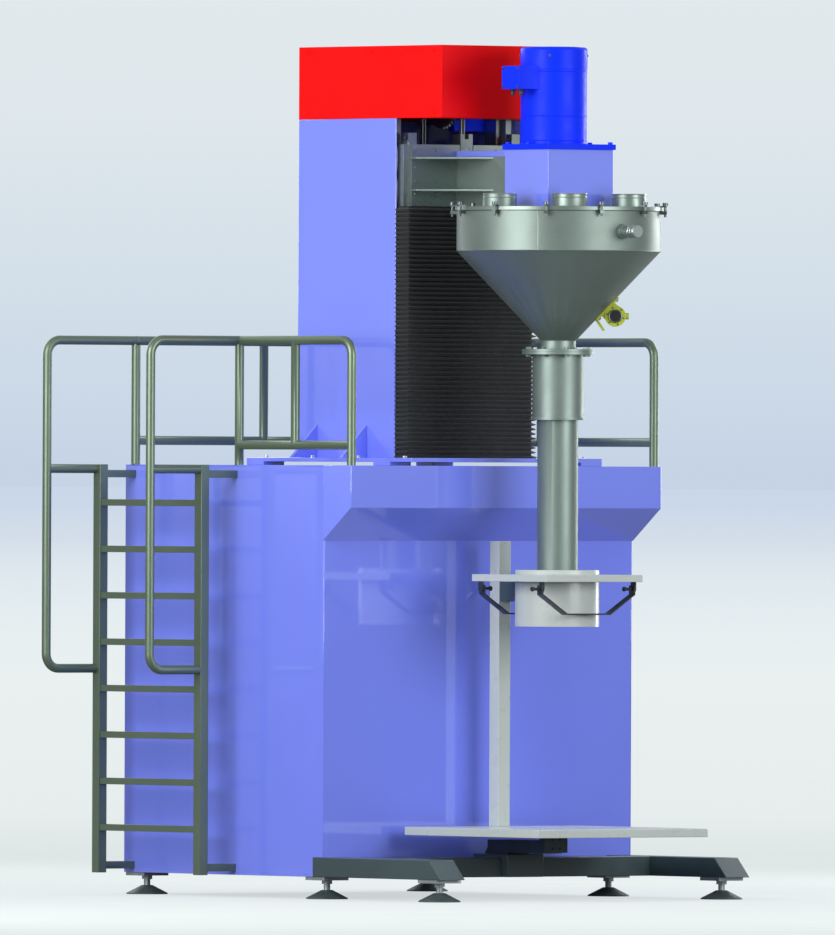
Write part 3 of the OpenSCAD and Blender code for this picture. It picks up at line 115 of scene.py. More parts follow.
def ramp(tree, factor, low, high, start=0.3, end=0.7):
    """Colour ramp between two greys or colours."""
    node = tree.nodes.new("ShaderNodeValToRGB")
    node.color_ramp.elements[0].position = start
    node.color_ramp.elements[1].position = end
    for element, value in zip(node.color_ramp.elements, (low, high)):
        colour = (value,) * 3 if isinstance(value, float) else value
        element.color = (*colour, 1.0)
    tree.links.new(factor, node.inputs["Fac"])
    return node.outputs["Color"]


def stops_ramp(tree, factor, stops):
    """Colour ramp through any number of (place, colour) stops."""
    node = tree.nodes.new("ShaderNodeValToRGB")
    while len(node.color_ramp.elements) < len(stops):
        node.color_ramp.elements.new(0.5)
    for element, (place, colour) in zip(node.color_ramp.elements, stops):
        element.position = place
        element.color = (*colour, 1.0)
    tree.links.new(factor, node.inputs["Fac"])
    return node.outputs["Color"]


def bump(tree, height, strength, distance, under=None):
    """Bump from a height in the texture, laid over another bump when under is given."""
    node = tree.nodes.new("ShaderNodeBump")
    node.inputs["Strength"].default_value = strength
    node.inputs["Distance"].default_value = distance
    tree.links.new(height, node.inputs["Height"])
    if under is not None:
        tree.links.new(under, node.inputs["Normal"])
    return node.outputs["Normal"]


def shade(colour, factor):
    """The colour made darker or lighter."""
    return tuple(min(1.0, c * factor) for c in colour)


def paint(name, colour, rough=0.22, ior=1.6, coat=0.3, peel=0.10, grime=0.08):
    """Sprayed paint: faint mottling, orange peel, and dust that dulls it in patches."""
    mat, tree, shader, obj = new_material(name)
    cloud = noise(tree, obj, 1.7, 5.0)
    fine = noise(tree, obj, 240.0, 3.0)
    tint = ramp(tree, cloud, shade(colour, 1.0 - grime), shade(colour, 1.0 + grime / 2))
    tree.links.new(tint, shader.inputs["Base Color"])
    dust = noise(tree, obj, 9.0, 8.0)
    tree.links.new(ramp(tree, dust, rough * 0.75, rough * 1.35, 0.25, 0.8),
                   shader.inputs["Roughness"])
    wave = noise(tree, obj, 5.0, 2.0)
    waves = bump(tree, wave, 0.02, 0.001)
    tree.links.new(bump(tree, fine, peel, 0.0004, waves), shader.inputs["Normal"])
    shader.inputs["IOR"].default_value = ior
    shader.inputs["Coat Weight"].default_value = coat
    shader.inputs["Coat Roughness"].default_value = 0.05
    return mat


def brushed(name, colour, rough=0.30, grain=(60.0, 60.0, 2.0), strength=0.12, metal=1.0):
    """Brushed or rolled metal: long fine scratches along the axis of the smallest scale."""
    mat, tree, shader, obj = new_material(name)
    lines = noise(tree, obj, 14.0, 8.0, grain)
    cloud = noise(tree, obj, 3.0, 4.0)
    tint = ramp(tree, lines, shade(colour, 0.88), shade(colour, 1.08), 0.25, 0.75)
    tree.links.new(tint, shader.inputs["Base Color"])
    mixed = tree.nodes.new("ShaderNodeMath")
    mixed.operation = "ADD"
    tree.links.new(lines, mixed.inputs[0])
    tree.links.new(cloud, mixed.inputs[1])
    half = tree.nodes.new("ShaderNodeMath")
    half.operation = "MULTIPLY"
    half.inputs[1].default_value = 0.5
    tree.links.new(mixed.outputs[0], half.inputs[0])
    tree.links.new(ramp(tree, half.outputs[0], rough * 0.7, rough * 1.3),
                   shader.inputs["Roughness"])
    tree.links.new(bump(tree, lines, strength, 0.0003), shader.inputs["Normal"])
    shader.inputs["Metallic"].default_value = metal
    return mat


def cast(name, colour, rough=0.5, metal=0.0, grain=420.0, strength=0.3):
    """Cast, moulded or galvanised surface with a fine even grain and random darker patches."""
    mat, tree, shader, obj = new_material(name)
    speck = noise(tree, obj, grain, 6.0)
    cloud = noise(tree, obj, 12.0, 6.0)
    tint = ramp(tree, cloud, shade(colour, 0.82), shade(colour, 1.15))
    tree.links.new(tint, shader.inputs["Base Color"])
    tree.links.new(ramp(tree, cloud, rough * 0.85, rough * 1.15), shader.inputs["Roughness"])
    tree.links.new(bump(tree, speck, strength, 0.0005), shader.inputs["Normal"])
    shader.inputs["Metallic"].default_value = metal
    return mat


def coated_cloth(name, colour):
    """Coated woven fabric: a fine square weave under a dull polymer skin."""
    mat, tree, shader, obj = new_material(name)
    heights = []
    for direction in ("X", "Z"):
        wave = tree.nodes.new("ShaderNodeTexWave")
        wave.bands_direction = direction
        wave.inputs["Scale"].default_value = 260.0
        wave.inputs["Distortion"].default_value = 0.6
        tree.links.new(obj, wave.inputs["Vector"])
        heights.append(wave.outputs["Fac"])
    weave = tree.nodes.new("ShaderNodeMath")
    weave.operation = "MAXIMUM"
    for socket, height in zip(weave.inputs, heights):
        tree.links.new(height, socket)
    cloud = noise(tree, obj, 7.0, 6.0)
    tint = ramp(tree, cloud, shade(colour, 0.85), shade(colour, 1.15))
    tree.links.new(tint, shader.inputs["Base Color"])
    tree.links.new(ramp(tree, cloud, 0.42, 0.6), shader.inputs["Roughness"])
    tree.links.new(bump(tree, weave.outputs[0], 0.10, 0.0003), shader.inputs["Normal"])
    shader.inputs["Sheen Weight"].default_value = 0.15
    return mat


TREAD_TURN = 0.785


def treaded(name, colour):
    """Painted deck plate with rows of raised lozenges that keep boots from slipping."""
    mat, tree, shader, obj = new_material(name)
    height = None
    for turn in (TREAD_TURN, -TREAD_TURN):
        mapping = tree.nodes.new("ShaderNodeMapping")
        mapping.inputs["Rotation"].default_value = (0.0, 0.0, turn)
        tree.links.new(obj, mapping.inputs["Vector"])
        bars = tree.nodes.new("ShaderNodeTexBrick")
        bars.inputs["Scale"].default_value = 16.0
        bars.inputs["Mortar Size"].default_value = 0.075
        bars.inputs["Mortar Smooth"].default_value = 0.4
        bars.inputs["Brick Width"].default_value = 0.55
        bars.inputs["Row Height"].default_value = 0.34
        tree.links.new(mapping.outputs["Vector"], bars.inputs["Vector"])
        height = bump(tree, bars.outputs["Fac"], 0.35, 0.0015, height)
    tree.links.new(height, shader.inputs["Normal"])
    worn = noise(tree, obj, 4.0, 8.0)
    tree.links.new(ramp(tree, worn, shade(colour, 0.75), shade(colour, 1.05)),
                   shader.inputs["Base Color"])
    tree.links.new(ramp(tree, worn, 0.28, 0.5), shader.inputs["Roughness"])
    shader.inputs["IOR"].default_value = 1.6
    return mat


LAVENDER = (0.205, 0.262, 1.0)
MATS = {
    "lavender_paint": paint("lavender_paint", LAVENDER, 0.05, 2.0, 0.5, 0.02, 0.04),
    "red_paint": paint("red_paint", (0.95, 0.002, 0.003), 0.40, 1.2, 0.0, 0.08, 0.05),
    "blue_paint": paint("blue_paint", (0.003, 0.032, 1.0), 0.40, 1.22, 0.0, 0.08, 0.05),
    "rail_paint": brushed("rail_paint", (0.175, 0.235, 0.165), 0.40, (40.0, 40.0, 40.0), 0.10, 0.7),
    "cream_paint": paint("cream_paint", (0.52, 0.57, 0.55), 0.30, 1.5, 0.2, 0.08, 0.06),
    "dark_paint": paint("dark_paint", (0.050, 0.080, 0.090), 0.36, 1.5, 0.1, 0.16, 0.2),
    "black_paint": paint("black_paint", (0.020, 0.024, 0.030), 0.35, 1.5, 0.1, 0.14, 0.2),
    "yellow_paint": paint("yellow_paint", (0.50, 0.56, 0.050), 0.32, 1.5, 0.2),
    "stainless": brushed("stainless", (0.235, 0.295, 0.270), 0.47, (1.5, 1.5, 90.0), 0.10, 0.75),
    "machined_steel": brushed("machined_steel", (0.40, 0.45, 0.44), 0.32, (50.0, 50.0, 4.0)),
    "galvanised": cast("galvanised", (0.46, 0.50, 0.51), 0.42, 0.9, 160.0, 0.12),
    "bellows_cloth": coated_cloth("bellows_cloth", (0.007, 0.010, 0.010)),
    "foot_rubber": cast("foot_rubber", (0.060, 0.085, 0.090), 0.55, 0.1, 500.0, 0.25),
}
LID_STEEL = brushed("lid_steel", (0.25, 0.31, 0.28), 0.40, (30.0, 30.0, 30.0), 0.10, 0.8)
SHELL_STEEL = brushed("shell_steel", (0.22, 0.275, 0.25), 0.48, (1.2, 1.2, 80.0), 0.10, 0.7)
# Lighter teal-grey laid on the bellows' pleat crests: a painted highlight where light catches each
# fold
CREST_HIGHLIGHT = cast("bellows_crest_highlight", (0.085, 0.125, 0.125), 0.45, 0.1, 300.0, 0.2)
WELD = cast("weld_bead", (0.26, 0.32, 0.28), 0.4, 0.9, 220.0, 0.5)
PORT = paint("port_black", (0.012, 0.014, 0.016), 0.4, 1.5, 0.1)
SEAL = cast("seal_rubber", (0.02, 0.02, 0.022), 0.6, 0.0, 700.0, 0.2)
BRIGHT = brushed("bright_fastener", (0.52, 0.55, 0.56), 0.26, (80.0, 80.0, 80.0), 0.08)
DULL = brushed("dull_fastener", (0.16, 0.19, 0.19), 0.38, (60.0, 60.0, 60.0), 0.08)
DEVICE = cast("device_case", (0.30, 0.32, 0.33), 0.5, 0.0, 600.0, 0.15)
DECK_TREAD = treaded("deck_tread", LAVENDER)

SLOTS = {s["node"]: s["material_slot"] for s in frame["record"]["subparts"]}
BODIES = frame["record"]["behaviour"]["bodies"]
NODE_BODY = {node: body for body, nodes in BODIES.items() for node in nodes}


# ---------------------------------------------------------------- mesh helpers

# Turn between two readings of a weld bead's ripple, in radians
PUDDLE_STEP = 2.4
# A hexagon head's (share of height, share of radius) levels, and how far its corners go
HEAD_LEVELS = [(0.0, 1.0), (0.78, 1.0), (1.0, 0.86)]
CORNER_CUT = 0.985


def add_object(name, mesh, mat, body):
    """Puts a finished mesh in the scene as a piece that rides on a body."""
    obj = bpy.data.objects.new(name, mesh)
    bpy.context.scene.collection.objects.link(obj)
    obj.data.materials.clear()
    obj.data.materials.append(mat)
    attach(obj, body)
    return obj


def from_bmesh(name, bm, mat, body, smooth=35.0):
    """Makes a piece of the mesh, smooth where its faces meet at less than smooth degrees."""
    bmesh.ops.recalc_face_normals(bm, faces=bm.faces)
    mesh = bpy.data.meshes.new(name)
    bm.to_mesh(mesh)
    bm.free()
    mesh.polygons.foreach_set("use_smooth", [True] * len(mesh.polygons))
    mesh.set_sharp_from_angle(angle=math.radians(smooth))
    return add_object(name, mesh, mat, body)


MERGE_DISTANCE = 0.00002
FLAT_ANGLE = math.radians(0.6)
SHARP_ANGLE = math.radians(40)


def softened(node, radius, mat=None, segments=2):
    """The CAD node again, merged into clean faces with its sharp edges rounded off."""
    source = frame["nodes"][node]
    bm = bmesh.new()
    for part in [source, *source.children_recursive]:
        if part.type == "MESH":
            bm.from_mesh(part.data)
    bmesh.ops.remove_doubles(bm, verts=bm.verts, dist=MERGE_DISTANCE)
    bmesh.ops.dissolve_limit(bm, angle_limit=FLAT_ANGLE, verts=bm.verts, edges=bm.edges)
    slot = SLOTS[node]
    obj = from_bmesh(node + "_finish", bm, mat or MATS[slot], NODE_BODY[node])
    if radius > 0:
        mod = obj.modifiers.new("rounded", "BEVEL")
        mod.width = radius
        mod.segments = segments
        mod.limit_method = "ANGLE"
        mod.angle_limit = SHARP_ANGLE
        mod.use_clamp_overlap = True
        mod.harden_normals = False
    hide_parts(node)
    return obj


def span(node):
    """Lowest and highest corner of a CAD node's box."""
    low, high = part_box(node)
    return Vector(low), Vector(high)


def across_and_up(axis):
    """Two directions at right angles to an axis and to each other."""
    side = axis.orthogonal().normalized()
    return side, axis.cross(side)


def turns(steps):
    """Angles of so many equal steps round a circle."""
    return [2 * math.pi * i / steps for i in range(steps)]


def skin(bm, rings, ends=True, reverse=False):
    """Joins each closed ring of points to the next, and closes the two ends when asked."""
    for a, b in zip(rings, rings[1:]):
        for j in range(len(a)):
            k = (j + 1) % len(a)
            bm.faces.new((a[j], b[j], b[k], a[k]) if reverse else (a[j], a[k], b[k], b[j]))
    if ends:
        bm.faces.new(rings[0])
        bm.faces.new(rings[-1])


def lathe(bm, outline, centre, steps=96):
    """Turns a closed outline of (radius, height) points round an upright axis."""
    rings = [[bm.verts.new(Vector(centre) + Vector((r * math.cos(a), r * math.sin(a), h)))
              for r, h in outline] for a in turns(steps)]
    skin(bm, rings + rings[:1], ends=False, reverse=True)


def torus(bm, centre, axis_vector, ring_r, bead_r, steps=64, sides=8, wobble=0.0):
    """A weld bead or rolled rim; wobble ripples the bead like stacked weld puddles."""
    axis = Vector(axis_vector).normalized()
    side, up = across_and_up(axis)
    rings = []
    for i, a in enumerate(turns(steps)):
        out = side * math.cos(a) + up * math.sin(a)
        size = bead_r * (1 + wobble * math.sin(i * PUDDLE_STEP))
        rings.append([bm.verts.new(Vector(centre) + out * (ring_r + size * math.cos(t))
                                   + axis * size * math.sin(t))
                      for t in turns(sides)])
    skin(bm, rings + rings[:1], ends=False, reverse=True)


def hex_head(bm, centre, direction, radius, height):
    """Hexagon head with a chamfered top, standing along direction from centre."""
    direction = Vector(direction).normalized()
    side, up = across_and_up(direction)
    rings = []
    for level, shrink in HEAD_LEVELS:
        ring = []
        for a in turns(24):
            sector = (a + math.pi / 6) % (math.pi / 3) - math.pi / 6
            flat = radius * math.cos(math.pi / 6) / math.cos(sector)
            r = min(flat, radius * shrink * CORNER_CUT)
            ring.append(bm.verts.new(Vector(centre) + (side * math.cos(a) + up * math.sin(a)) * r
                                     + direction * height * level))
        rings.append(ring)
    skin(bm, rings)


def round_bar(bm, centre, direction, levels, steps=32):
    """Round bar along direction from centre, through (distance, radius) levels."""
    direction = Vector(direction).normalized()
    side, up = across_and_up(direction)
    skin(bm, [[bm.verts.new(Vector(centre) + direction * along
                            + (side * math.cos(a) + up * math.sin(a)) * r)
               for a in turns(steps)] for along, r in levels])


def washer(bm, centre, direction, radius, thick):
    """Flat disc with a chamfered upper edge."""
    round_bar(bm, centre, direction,
              [(0.0, radius), (0.6 * thick, radius), (thick, 0.94 * radius)])


def cylinder(bm, centre, direction, radius, length, edge=0.001, steps=32):
    """Round bar from centre along direction, with a small chamfer on its far end."""
    round_bar(bm, centre, direction,
              [(0.0, radius), (length - edge, radius), (length, radius - edge)], steps)


def bolt(bm, centre, direction, radius):
    """Washer and hexagon head."""
    direction = Vector(direction).normalized()
    thick = radius * 0.22
    washer(bm, centre, direction, radius * 1.28, thick)
    hex_head(bm, Vector(centre) + direction * thick, direction, radius, radius * 0.75)


def detail(name, fill, mat, body, slot=None):
    """Fills a mesh with one function and adds it as a piece of its own."""
    bm = bmesh.new()
    fill(bm)
    return from_bmesh(name, bm, mat, body)


# ---------------------------------------------------------------- places taken from the frame

tube_low, tube_high = span("dosing_tube")
AXIS = (tube_low + tube_high) / 2
AXIS.z = 0.0
shell_low, shell_high = span("hopper_shell")
lid_low, lid_high = span("hopper_lid")
HOPPER_R = (shell_high.x - shell_low.x) / 2


def at(x, y, z):
    """A point given by its distances from the dosing axis and its height above the floor."""
    return Vector((AXIS.x + x, AXIS.y + y, z))


def outward(angle):
    """Level direction away from an upright axis."""
    return Vector((math.cos(angle), math.sin(angle), 0))


# ---------------------------------------------------------------- painted cabinet and column

# Radii of the rounded edges
NO_EDGE = 0.0
GEAR_EDGE = 0.0003
FINE_EDGE = 0.0008
TURNED_EDGE = 0.001
CLAMP_EDGE = 0.0012
SHEET_EDGE = 0.0015
BAR_EDGE = 0.002
FOLD_EDGE = 0.0025
PANEL_EDGE = 0.003
BEAM_EDGE = 0.004
CAP_EDGE = 0.005

for node_name in ("cabinet_floor", "cabinet_sides", "cabinet_front", "cabinet_back"):
    softened(node_name, SHEET_EDGE)
softened("deck", SHEET_EDGE, mat=DECK_TREAD)
softened("canopy", PANEL_EDGE)
for node_name in ("column_base", "column_walls", "column_gussets"):
    softened(node_name, FOLD_EDGE)
softened("column_cap", CAP_EDGE, segments=3)
for node_name in ("cabinet_frame", "platform_frame"):
    softened(node_name, BAR_EDGE)
for node_name in ("left_door", "right_door"):
    softened(node_name, FOLD_EDGE)
softened("control_panel", BAR_EDGE, mat=DEVICE)
softened("door_hinges", FINE_EDGE)

# ---------------------------------------------------------------- base, feet and weighing

for node_name in ("outriggers", "cross_beam", "weigh_arm", "clamp_bracket"):
    softened(node_name, BEAM_EDGE, segments=3)
softened("weigh_platform", PANEL_EDGE, segments=3)
softened("bag_post", CAP_EDGE, segments=3)
softened("clamp_plate", PANEL_EDGE, segments=3)
softened("foot_screws", TURNED_EDGE)
softened("foot_pads", BAR_EDGE, segments=3)
for node_name in ("front_bail", "rear_bail"):
    softened(node_name, SHEET_EDGE)
softened("bail_pivots", TURNED_EDGE)

# ---------------------------------------------------------------- ladder and rails

for node_name in ("ladder_stringers", "ladder_rungs"):
    softened(node_name, PANEL_EDGE)
for node_name in ("handrail_loops", "guardrails"):
    softened(node_name, NO_EDGE)

# ---------------------------------------------------------------- lift

for node_name in ("guide_rails", "hoist_bearings", "hoist_motor", "carriage_plate",
                  "carriage_frame", "chain_anchor", "carriage_arm", "arm_cover"):
    softened(node_name, BAR_EDGE)
for node_name in ("hoist_chain", "hoist_wheel", "idler_wheel"):
    softened(node_name, FINE_EDGE)

# ---------------------------------------------------------------- dosing head

for node_name in ("drive_box", "drive_plate", "level_sensor", "dosing_tube", "tube_jackets",
                  "hopper_vibrator"):
    softened(node_name, SHEET_EDGE)
softened("hopper_lid", SHEET_EDGE, mat=LID_STEEL)
softened("lid_clamps", CLAMP_EDGE, mat=DULL)
softened("drive_motor", PANEL_EDGE, segments=3)
softened("hopper_shell", FINE_EDGE, mat=SHELL_STEEL)
for node_name in ("gear_bearings", "motor_pinion", "lay_shaft", "agitator"):
    softened(node_name, GEAR_EDGE, segments=1)
softened("auger", NO_EDGE)
softened("bag_spout", SHEET_EDGE)


# ---------------------------------------------------------------- bellows

def bellows():
    """Pleated guard: a U-shaped strip folded up and down between the base and the carriage."""
    low, high = span("bellows")
    folds = 54
    depth = 0.018
    cloth = 0.0025
    corner_r = 0.008
    height = high.z - low.z
    pitch = height / folds
    top_drop = 0.94
    # (share of a pleat's height, share of its depth), from one valley up over the crest
    crease = [(0.0, top_drop), (0.10, 0.35), (0.20, 0.08), (0.28, 0.0), (0.36, 0.08), (0.50, 0.5),
              (0.66, 0.94), (0.80, 1.0), (0.92, 1.0)]
    bm = bmesh.new()
    rings = []

    def outline(inset):
        x0, x1, y0, y1 = low.x + inset, high.x - inset, low.y + inset, high.y
        r = corner_r
        points = [(x0, y1)]
        for cx, cy, start in ((x0 + r, y0 + r, math.pi), (x1 - r, y0 + r, 1.5 * math.pi)):
            for step in range(4):
                a = start + step * math.pi / 6
                points.append((cx + r * math.cos(a), cy + r * math.sin(a)))
        points.append((x1, y1))
        return points

    def level(z, inset):
        outer = outline(inset)
        inner_side = outline(inset + cloth)[::-1]
        return [bm.verts.new((x, y, z)) for x, y in outer + inner_side]

    for i in range(folds):
        for share, drop in crease:
            rings.append(level(low.z + (i + share) * pitch, drop * depth))
    rings.append(level(high.z, top_drop * depth))
    for index, (a, b) in enumerate(zip(rings, rings[1:])):
        for j in range(len(a)):
            k = (j + 1) % len(a)
            face = bm.faces.new((a[j], a[k], b[k], b[j]))
            # Faces round each pleat's crest take the second material, a painted highlight
            if index % len(crease) in (2, 3):
                face.material_index = 1
    bm.faces.new(rings[0])
    bm.faces.new(rings[-1])
    obj = from_bmesh("bellows_pleats", bm, MATS["bellows_cloth"], FRAME_BODY, 60)
    # Second material: the painted highlight on the pleat crests
    obj.data.materials.append(CREST_HIGHLIGHT)
    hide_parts("bellows")
    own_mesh(obj)


bellows()


# ---------------------------------------------------------------- fittings and fasteners

motor_low, motor_high = span("drive_motor")
# The drive plate's face lies this far below the top of its box, for its bolt heads
PLATE_DROP = 0.012
DPLATE_TOP = span("drive_plate")[1].z - PLATE_DROP
# The motor's axis lies this far behind the dosing axis
MOTOR_Y = 0.048
# The motor's widest part stands this far past its body
MOTOR_LIP = 0.003
MOTOR_R = (motor_high.y - motor_low.y) / 2 - MOTOR_LIP
MOTOR_TOP = motor_high.z
# The terminal box's outer side, foot and top
TERM_X0 = motor_low.x - AXIS.x
TERM_Z0 = DPLATE_TOP + 0.292
TERM_Z1 = DPLATE_TOP + 0.415

GRILLE_RINGS = (0.035, 0.060, 0.085, 0.110, 0.135)
GRILLE_WIRE = 0.0022
SPOKES = 8
SPOKE_START = 0.015
SPOKE_LENGTH = 0.125
SPOKE_EDGE = 0.0005
MOTOR_BANDS = (DPLATE_TOP + 0.0185, DPLATE_TOP + 0.150, MOTOR_TOP - 0.130)
BAND_WIRE = 0.0025


def motor_dress(bm):
    """Rings and spokes of the fan cowl's grille, and bands round the motor's body."""
    top = at(0, MOTOR_Y, MOTOR_TOP)
    for r in GRILLE_RINGS:
        torus(bm, top, UP, r, GRILLE_WIRE, 72, 8)
    for i in range(SPOKES):
        way = outward(2 * math.pi * i / SPOKES)
        cylinder(bm, top + way * SPOKE_START, way, GRILLE_WIRE, SPOKE_LENGTH, SPOKE_EDGE, 8)
    for z in MOTOR_BANDS:
        torus(bm, at(0, MOTOR_Y, z), UP, MOTOR_R + 0.0005, BAND_WIRE, 96, 8)


COWL_SCREW_R = 0.006
COWL_SCREW_DROP = 0.045
LID_SCREW_R = 0.0055
LID_SCREW_INSET = 0.013
LID_SCREW_Y = 0.062


def motor_fasteners(bm):
    """Four screws round the cowl and four in the terminal box's lid."""
    for i in range(4):
        way = outward(math.pi / 4 + math.pi * i / 2)
        place = at(0, MOTOR_Y, MOTOR_TOP - COWL_SCREW_DROP) + way * (MOTOR_R + 0.002)
        bolt(bm, place, way, COWL_SCREW_R)
    for y in (-LID_SCREW_Y, LID_SCREW_Y):
        for z in (TERM_Z0 + LID_SCREW_INSET, TERM_Z1 - LID_SCREW_INSET):
            bolt(bm, at(TERM_X0 - 0.0005, MOTOR_Y + y, z), (-1, 0, 0), LID_SCREW_R)


GLAND_Y = 0.035
GLAND_INSET = 0.045
GLAND_NUT_R = 0.017
GLAND_NUT_H = 0.012
GLAND_PLUG_R = 0.0125
GLAND_PLUG_H = 0.022


def motor_glands(bm):
    """Two cable glands with plugs under the terminal box."""
    down = Vector((0, 0, -1))
    for y in (-GLAND_Y, GLAND_Y):
        place = at(TERM_X0 + GLAND_INSET, MOTOR_Y + y, TERM_Z0)
        hex_head(bm, place, down, GLAND_NUT_R, GLAND_NUT_H)
        cylinder(bm, place + down * 0.010, down, GLAND_PLUG_R, GLAND_PLUG_H, 0.003)


PLATE_ANGLE = math.radians(75)
PLATE_HALF = math.radians(13)
PLATE_Z0 = DPLATE_TOP + 0.180
PLATE_Z1 = DPLATE_TOP + 0.245
PLATE_SINK = 0.001
PLATE_STAND = 0.0012
RIVET_R = 0.0022
RIVET_H = 0.0015
RIVET_INSET = 0.005
RIVET_SHARE = 0.88


def name_plate(bm):
    """Blank plate, curved to the motor's side, with a rivet in each corner."""
    inner, outer = MOTOR_R - PLATE_SINK, MOTOR_R + PLATE_STAND
    edge = [(inner, PLATE_Z0), (outer, PLATE_Z0), (outer, PLATE_Z1), (inner, PLATE_Z1)]
    rings = []
    for i in range(13):
        a = PLATE_ANGLE + PLATE_HALF * (i / 6 - 1)
        rings.append([bm.verts.new(at(r * math.cos(a), MOTOR_Y + r * math.sin(a), z))
                      for r, z in edge])
    skin(bm, rings, reverse=True)
    for share in (-RIVET_SHARE, RIVET_SHARE):
        for z in (PLATE_Z0 + RIVET_INSET, PLATE_Z1 - RIVET_INSET):
            way = outward(PLATE_ANGLE + PLATE_HALF * share)
            place = at(0, MOTOR_Y, z) + way * (MOTOR_R + 0.001)
            cylinder(bm, place, way, RIVET_R, RIVET_H, 0.0005, 12)


detail("motor_cowl_ribs", motor_dress, MATS["blue_paint"], CARRIAGE, "blue_paint")
detail("motor_screws", motor_fasteners, DULL, CARRIAGE, "machined_steel")
detail("motor_cable_glands", motor_glands, PORT, CARRIAGE, "black_paint")
detail("motor_plate", name_plate, BRIGHT, CARRIAGE, "stainless")

SHELL_TOP = shell_high.z
SHELL_HEIGHT = 0.214
SEAM_Z = SHELL_TOP - SHELL_HEIGHT
CONE_HEIGHT = 0.478
CONE_END_R = 0.094
CONE_END_Z = SEAM_Z - CONE_HEIGHT
# Radius gained for each metre up the cone
CONE_SLOPE = (HOPPER_R - CONE_END_R) / CONE_HEIGHT
STUB_HEIGHT = 0.070
STUB_R = 0.091
LID_TOP = lid_high.z - STUB_HEIGHT
INLET_CIRCLE = 0.402
INLETS = [(INLET_CIRCLE * math.sin(a), -INLET_CIRCLE * math.cos(a))
          for a in [math.radians(d) for d in (-30, 30, 90, -90)]]
RIPPLE = 0.2


def hopper_welds(bm):
    """Weld beads round the cone's seam and the inlet stubs, and three down the shell."""
    torus(bm, at(0, 0, SEAM_Z), UP, HOPPER_R, 0.0026, 180, 6, RIPPLE)
    for x, y in INLETS:
        torus(bm, at(x, y, LID_TOP), UP, STUB_R + 0.0005, 0.0028, 80, 6, RIPPLE)
    for angle in (100, 220, 340):
        place = at(0, 0, SEAM_Z) + outward(math.radians(angle)) * (HOPPER_R - 0.0012)
        cylinder(bm, place, UP, 0.003, SHELL_HEIGHT - 0.004, 0.001, 8)


def inlet_rims(bm):
    """Rolled rim at each stub's mouth, and a smaller bead below it."""
    for x, y in INLETS:
        torus(bm, at(x, y, lid_high.z - 0.003), UP, STUB_R - 0.0005, 0.0032, 80, 10)
        torus(bm, at(x, y, lid_high.z - 0.022), UP, STUB_R, 0.0022, 80, 8)


GASKET_INSIDE = 0.010
GASKET_OUTSIDE = 0.0035
GASKET_LOW = 0.0025
GASKET_HIGH = 0.0005


def lid_gasket(bm):
    """Flat rubber ring between the shell and the lid."""
    inner, outer = HOPPER_R - GASKET_INSIDE, HOPPER_R + GASKET_OUTSIDE
    z0, z1 = lid_low.z - GASKET_LOW, lid_low.z + GASKET_HIGH
    lathe(bm, [(inner, z0), (outer, z0), (outer, z1), (inner, z1)], at(0, 0, 0), 128)


detail("hopper_weld_beads", hopper_welds, WELD, CARRIAGE, "stainless")
detail("inlet_rims", inlet_rims, BRIGHT, CARRIAGE, "stainless")
detail("lid_gasket", lid_gasket, SEAL, CARRIAGE, "foot_rubber")

sensor_low, sensor_high = span("level_sensor")
SENSOR_LIP = 0.008
SENSOR_RIDGES = (0.006, 0.014, 0.034)
SENSOR_HEX_AT = 0.060
SENSOR_HEX_LIP = 0.006
SENSOR_HEX_H = 0.010


def sensor_dress(bm):
    """Ridges round the probe's housing, and a hexagon for a spanner behind them."""
    middle = (sensor_low + sensor_high) / 2
    r = (sensor_high.x - sensor_low.x) / 2 - SENSOR_LIP
    for along in SENSOR_RIDGES:
        torus(bm, (middle.x, sensor_low.y + along, middle.z), (0, 1, 0), r, 0.0016, 48, 8)
    hex_head(bm, (middle.x, sensor_low.y + SENSOR_HEX_AT, middle.z), (0, -1, 0),
             r + SENSOR_HEX_LIP, SENSOR_HEX_H)


detail("sensor_ridges", sensor_dress, BRIGHT, CARRIAGE, "stainless")

VIB_ANGLE = math.radians(-38)
VIB_RADIUS = 0.259
VIB_STAND = 0.062


def vibrator_frame():
    """Drum centre, direction out of the cone, drum axis, and direction up the cone."""
    lean = math.atan(1 / CONE_SLOPE)
    out = outward(VIB_ANGLE)
    across = Vector((-math.sin(VIB_ANGLE), math.cos(VIB_ANGLE), 0))
    foot = at(0, 0, CONE_END_Z + (VIB_RADIUS - CONE_END_R) / CONE_SLOPE) + out * VIB_RADIUS
    normal = out * math.sin(lean) - Vector((0, 0, math.cos(lean)))
    along = out * math.cos(lean) + Vector((0, 0, math.sin(lean)))
    return foot + normal * VIB_STAND, normal, across, along


drum, vib_normal, vib_across, vib_along = vibrator_frame()
PORT_AT = 0.0385
PORT_R = 0.030
PORT_RING_AT = 0.040
PORT_RING_R = 0.0335
PORT_SCREW_AT = 0.031
PORT_SCREW_CIRCLE = 0.046
PORT_SCREW_R = 0.0042
PAD_BOLT_R = 0.0075
PAD_BOLT_DROP = 0.052
PAD_BOLT_ALONG = 0.068
PAD_BOLT_ACROSS = 0.022


def vibrator_ports(bm):
    """Black plug in each end of the drum."""
    for sign in (-1, 1):
        end = vib_across * sign
        cylinder(bm, drum + end * PORT_AT, end, PORT_R, 0.003, 0.001, 48)


def vibrator_ring(bm):
    """Ring round each plug, and six screws round each ring."""
    for sign in (-1, 1):
        torus(bm, drum + vib_across * sign * PORT_RING_AT, vib_across, PORT_RING_R, 0.0030, 64, 8)
    for a in [math.radians(d) for d in (30, 90, 150, 210, 270, 330)]:
        spoke = (vib_normal * math.cos(a) + vib_along * math.sin(a)) * PORT_SCREW_CIRCLE
        for sign in (-1, 1):
            end = vib_across * sign
            cylinder(bm, drum + spoke + end * PORT_SCREW_AT, end, PORT_SCREW_R, 0.005, 0.001, 16)


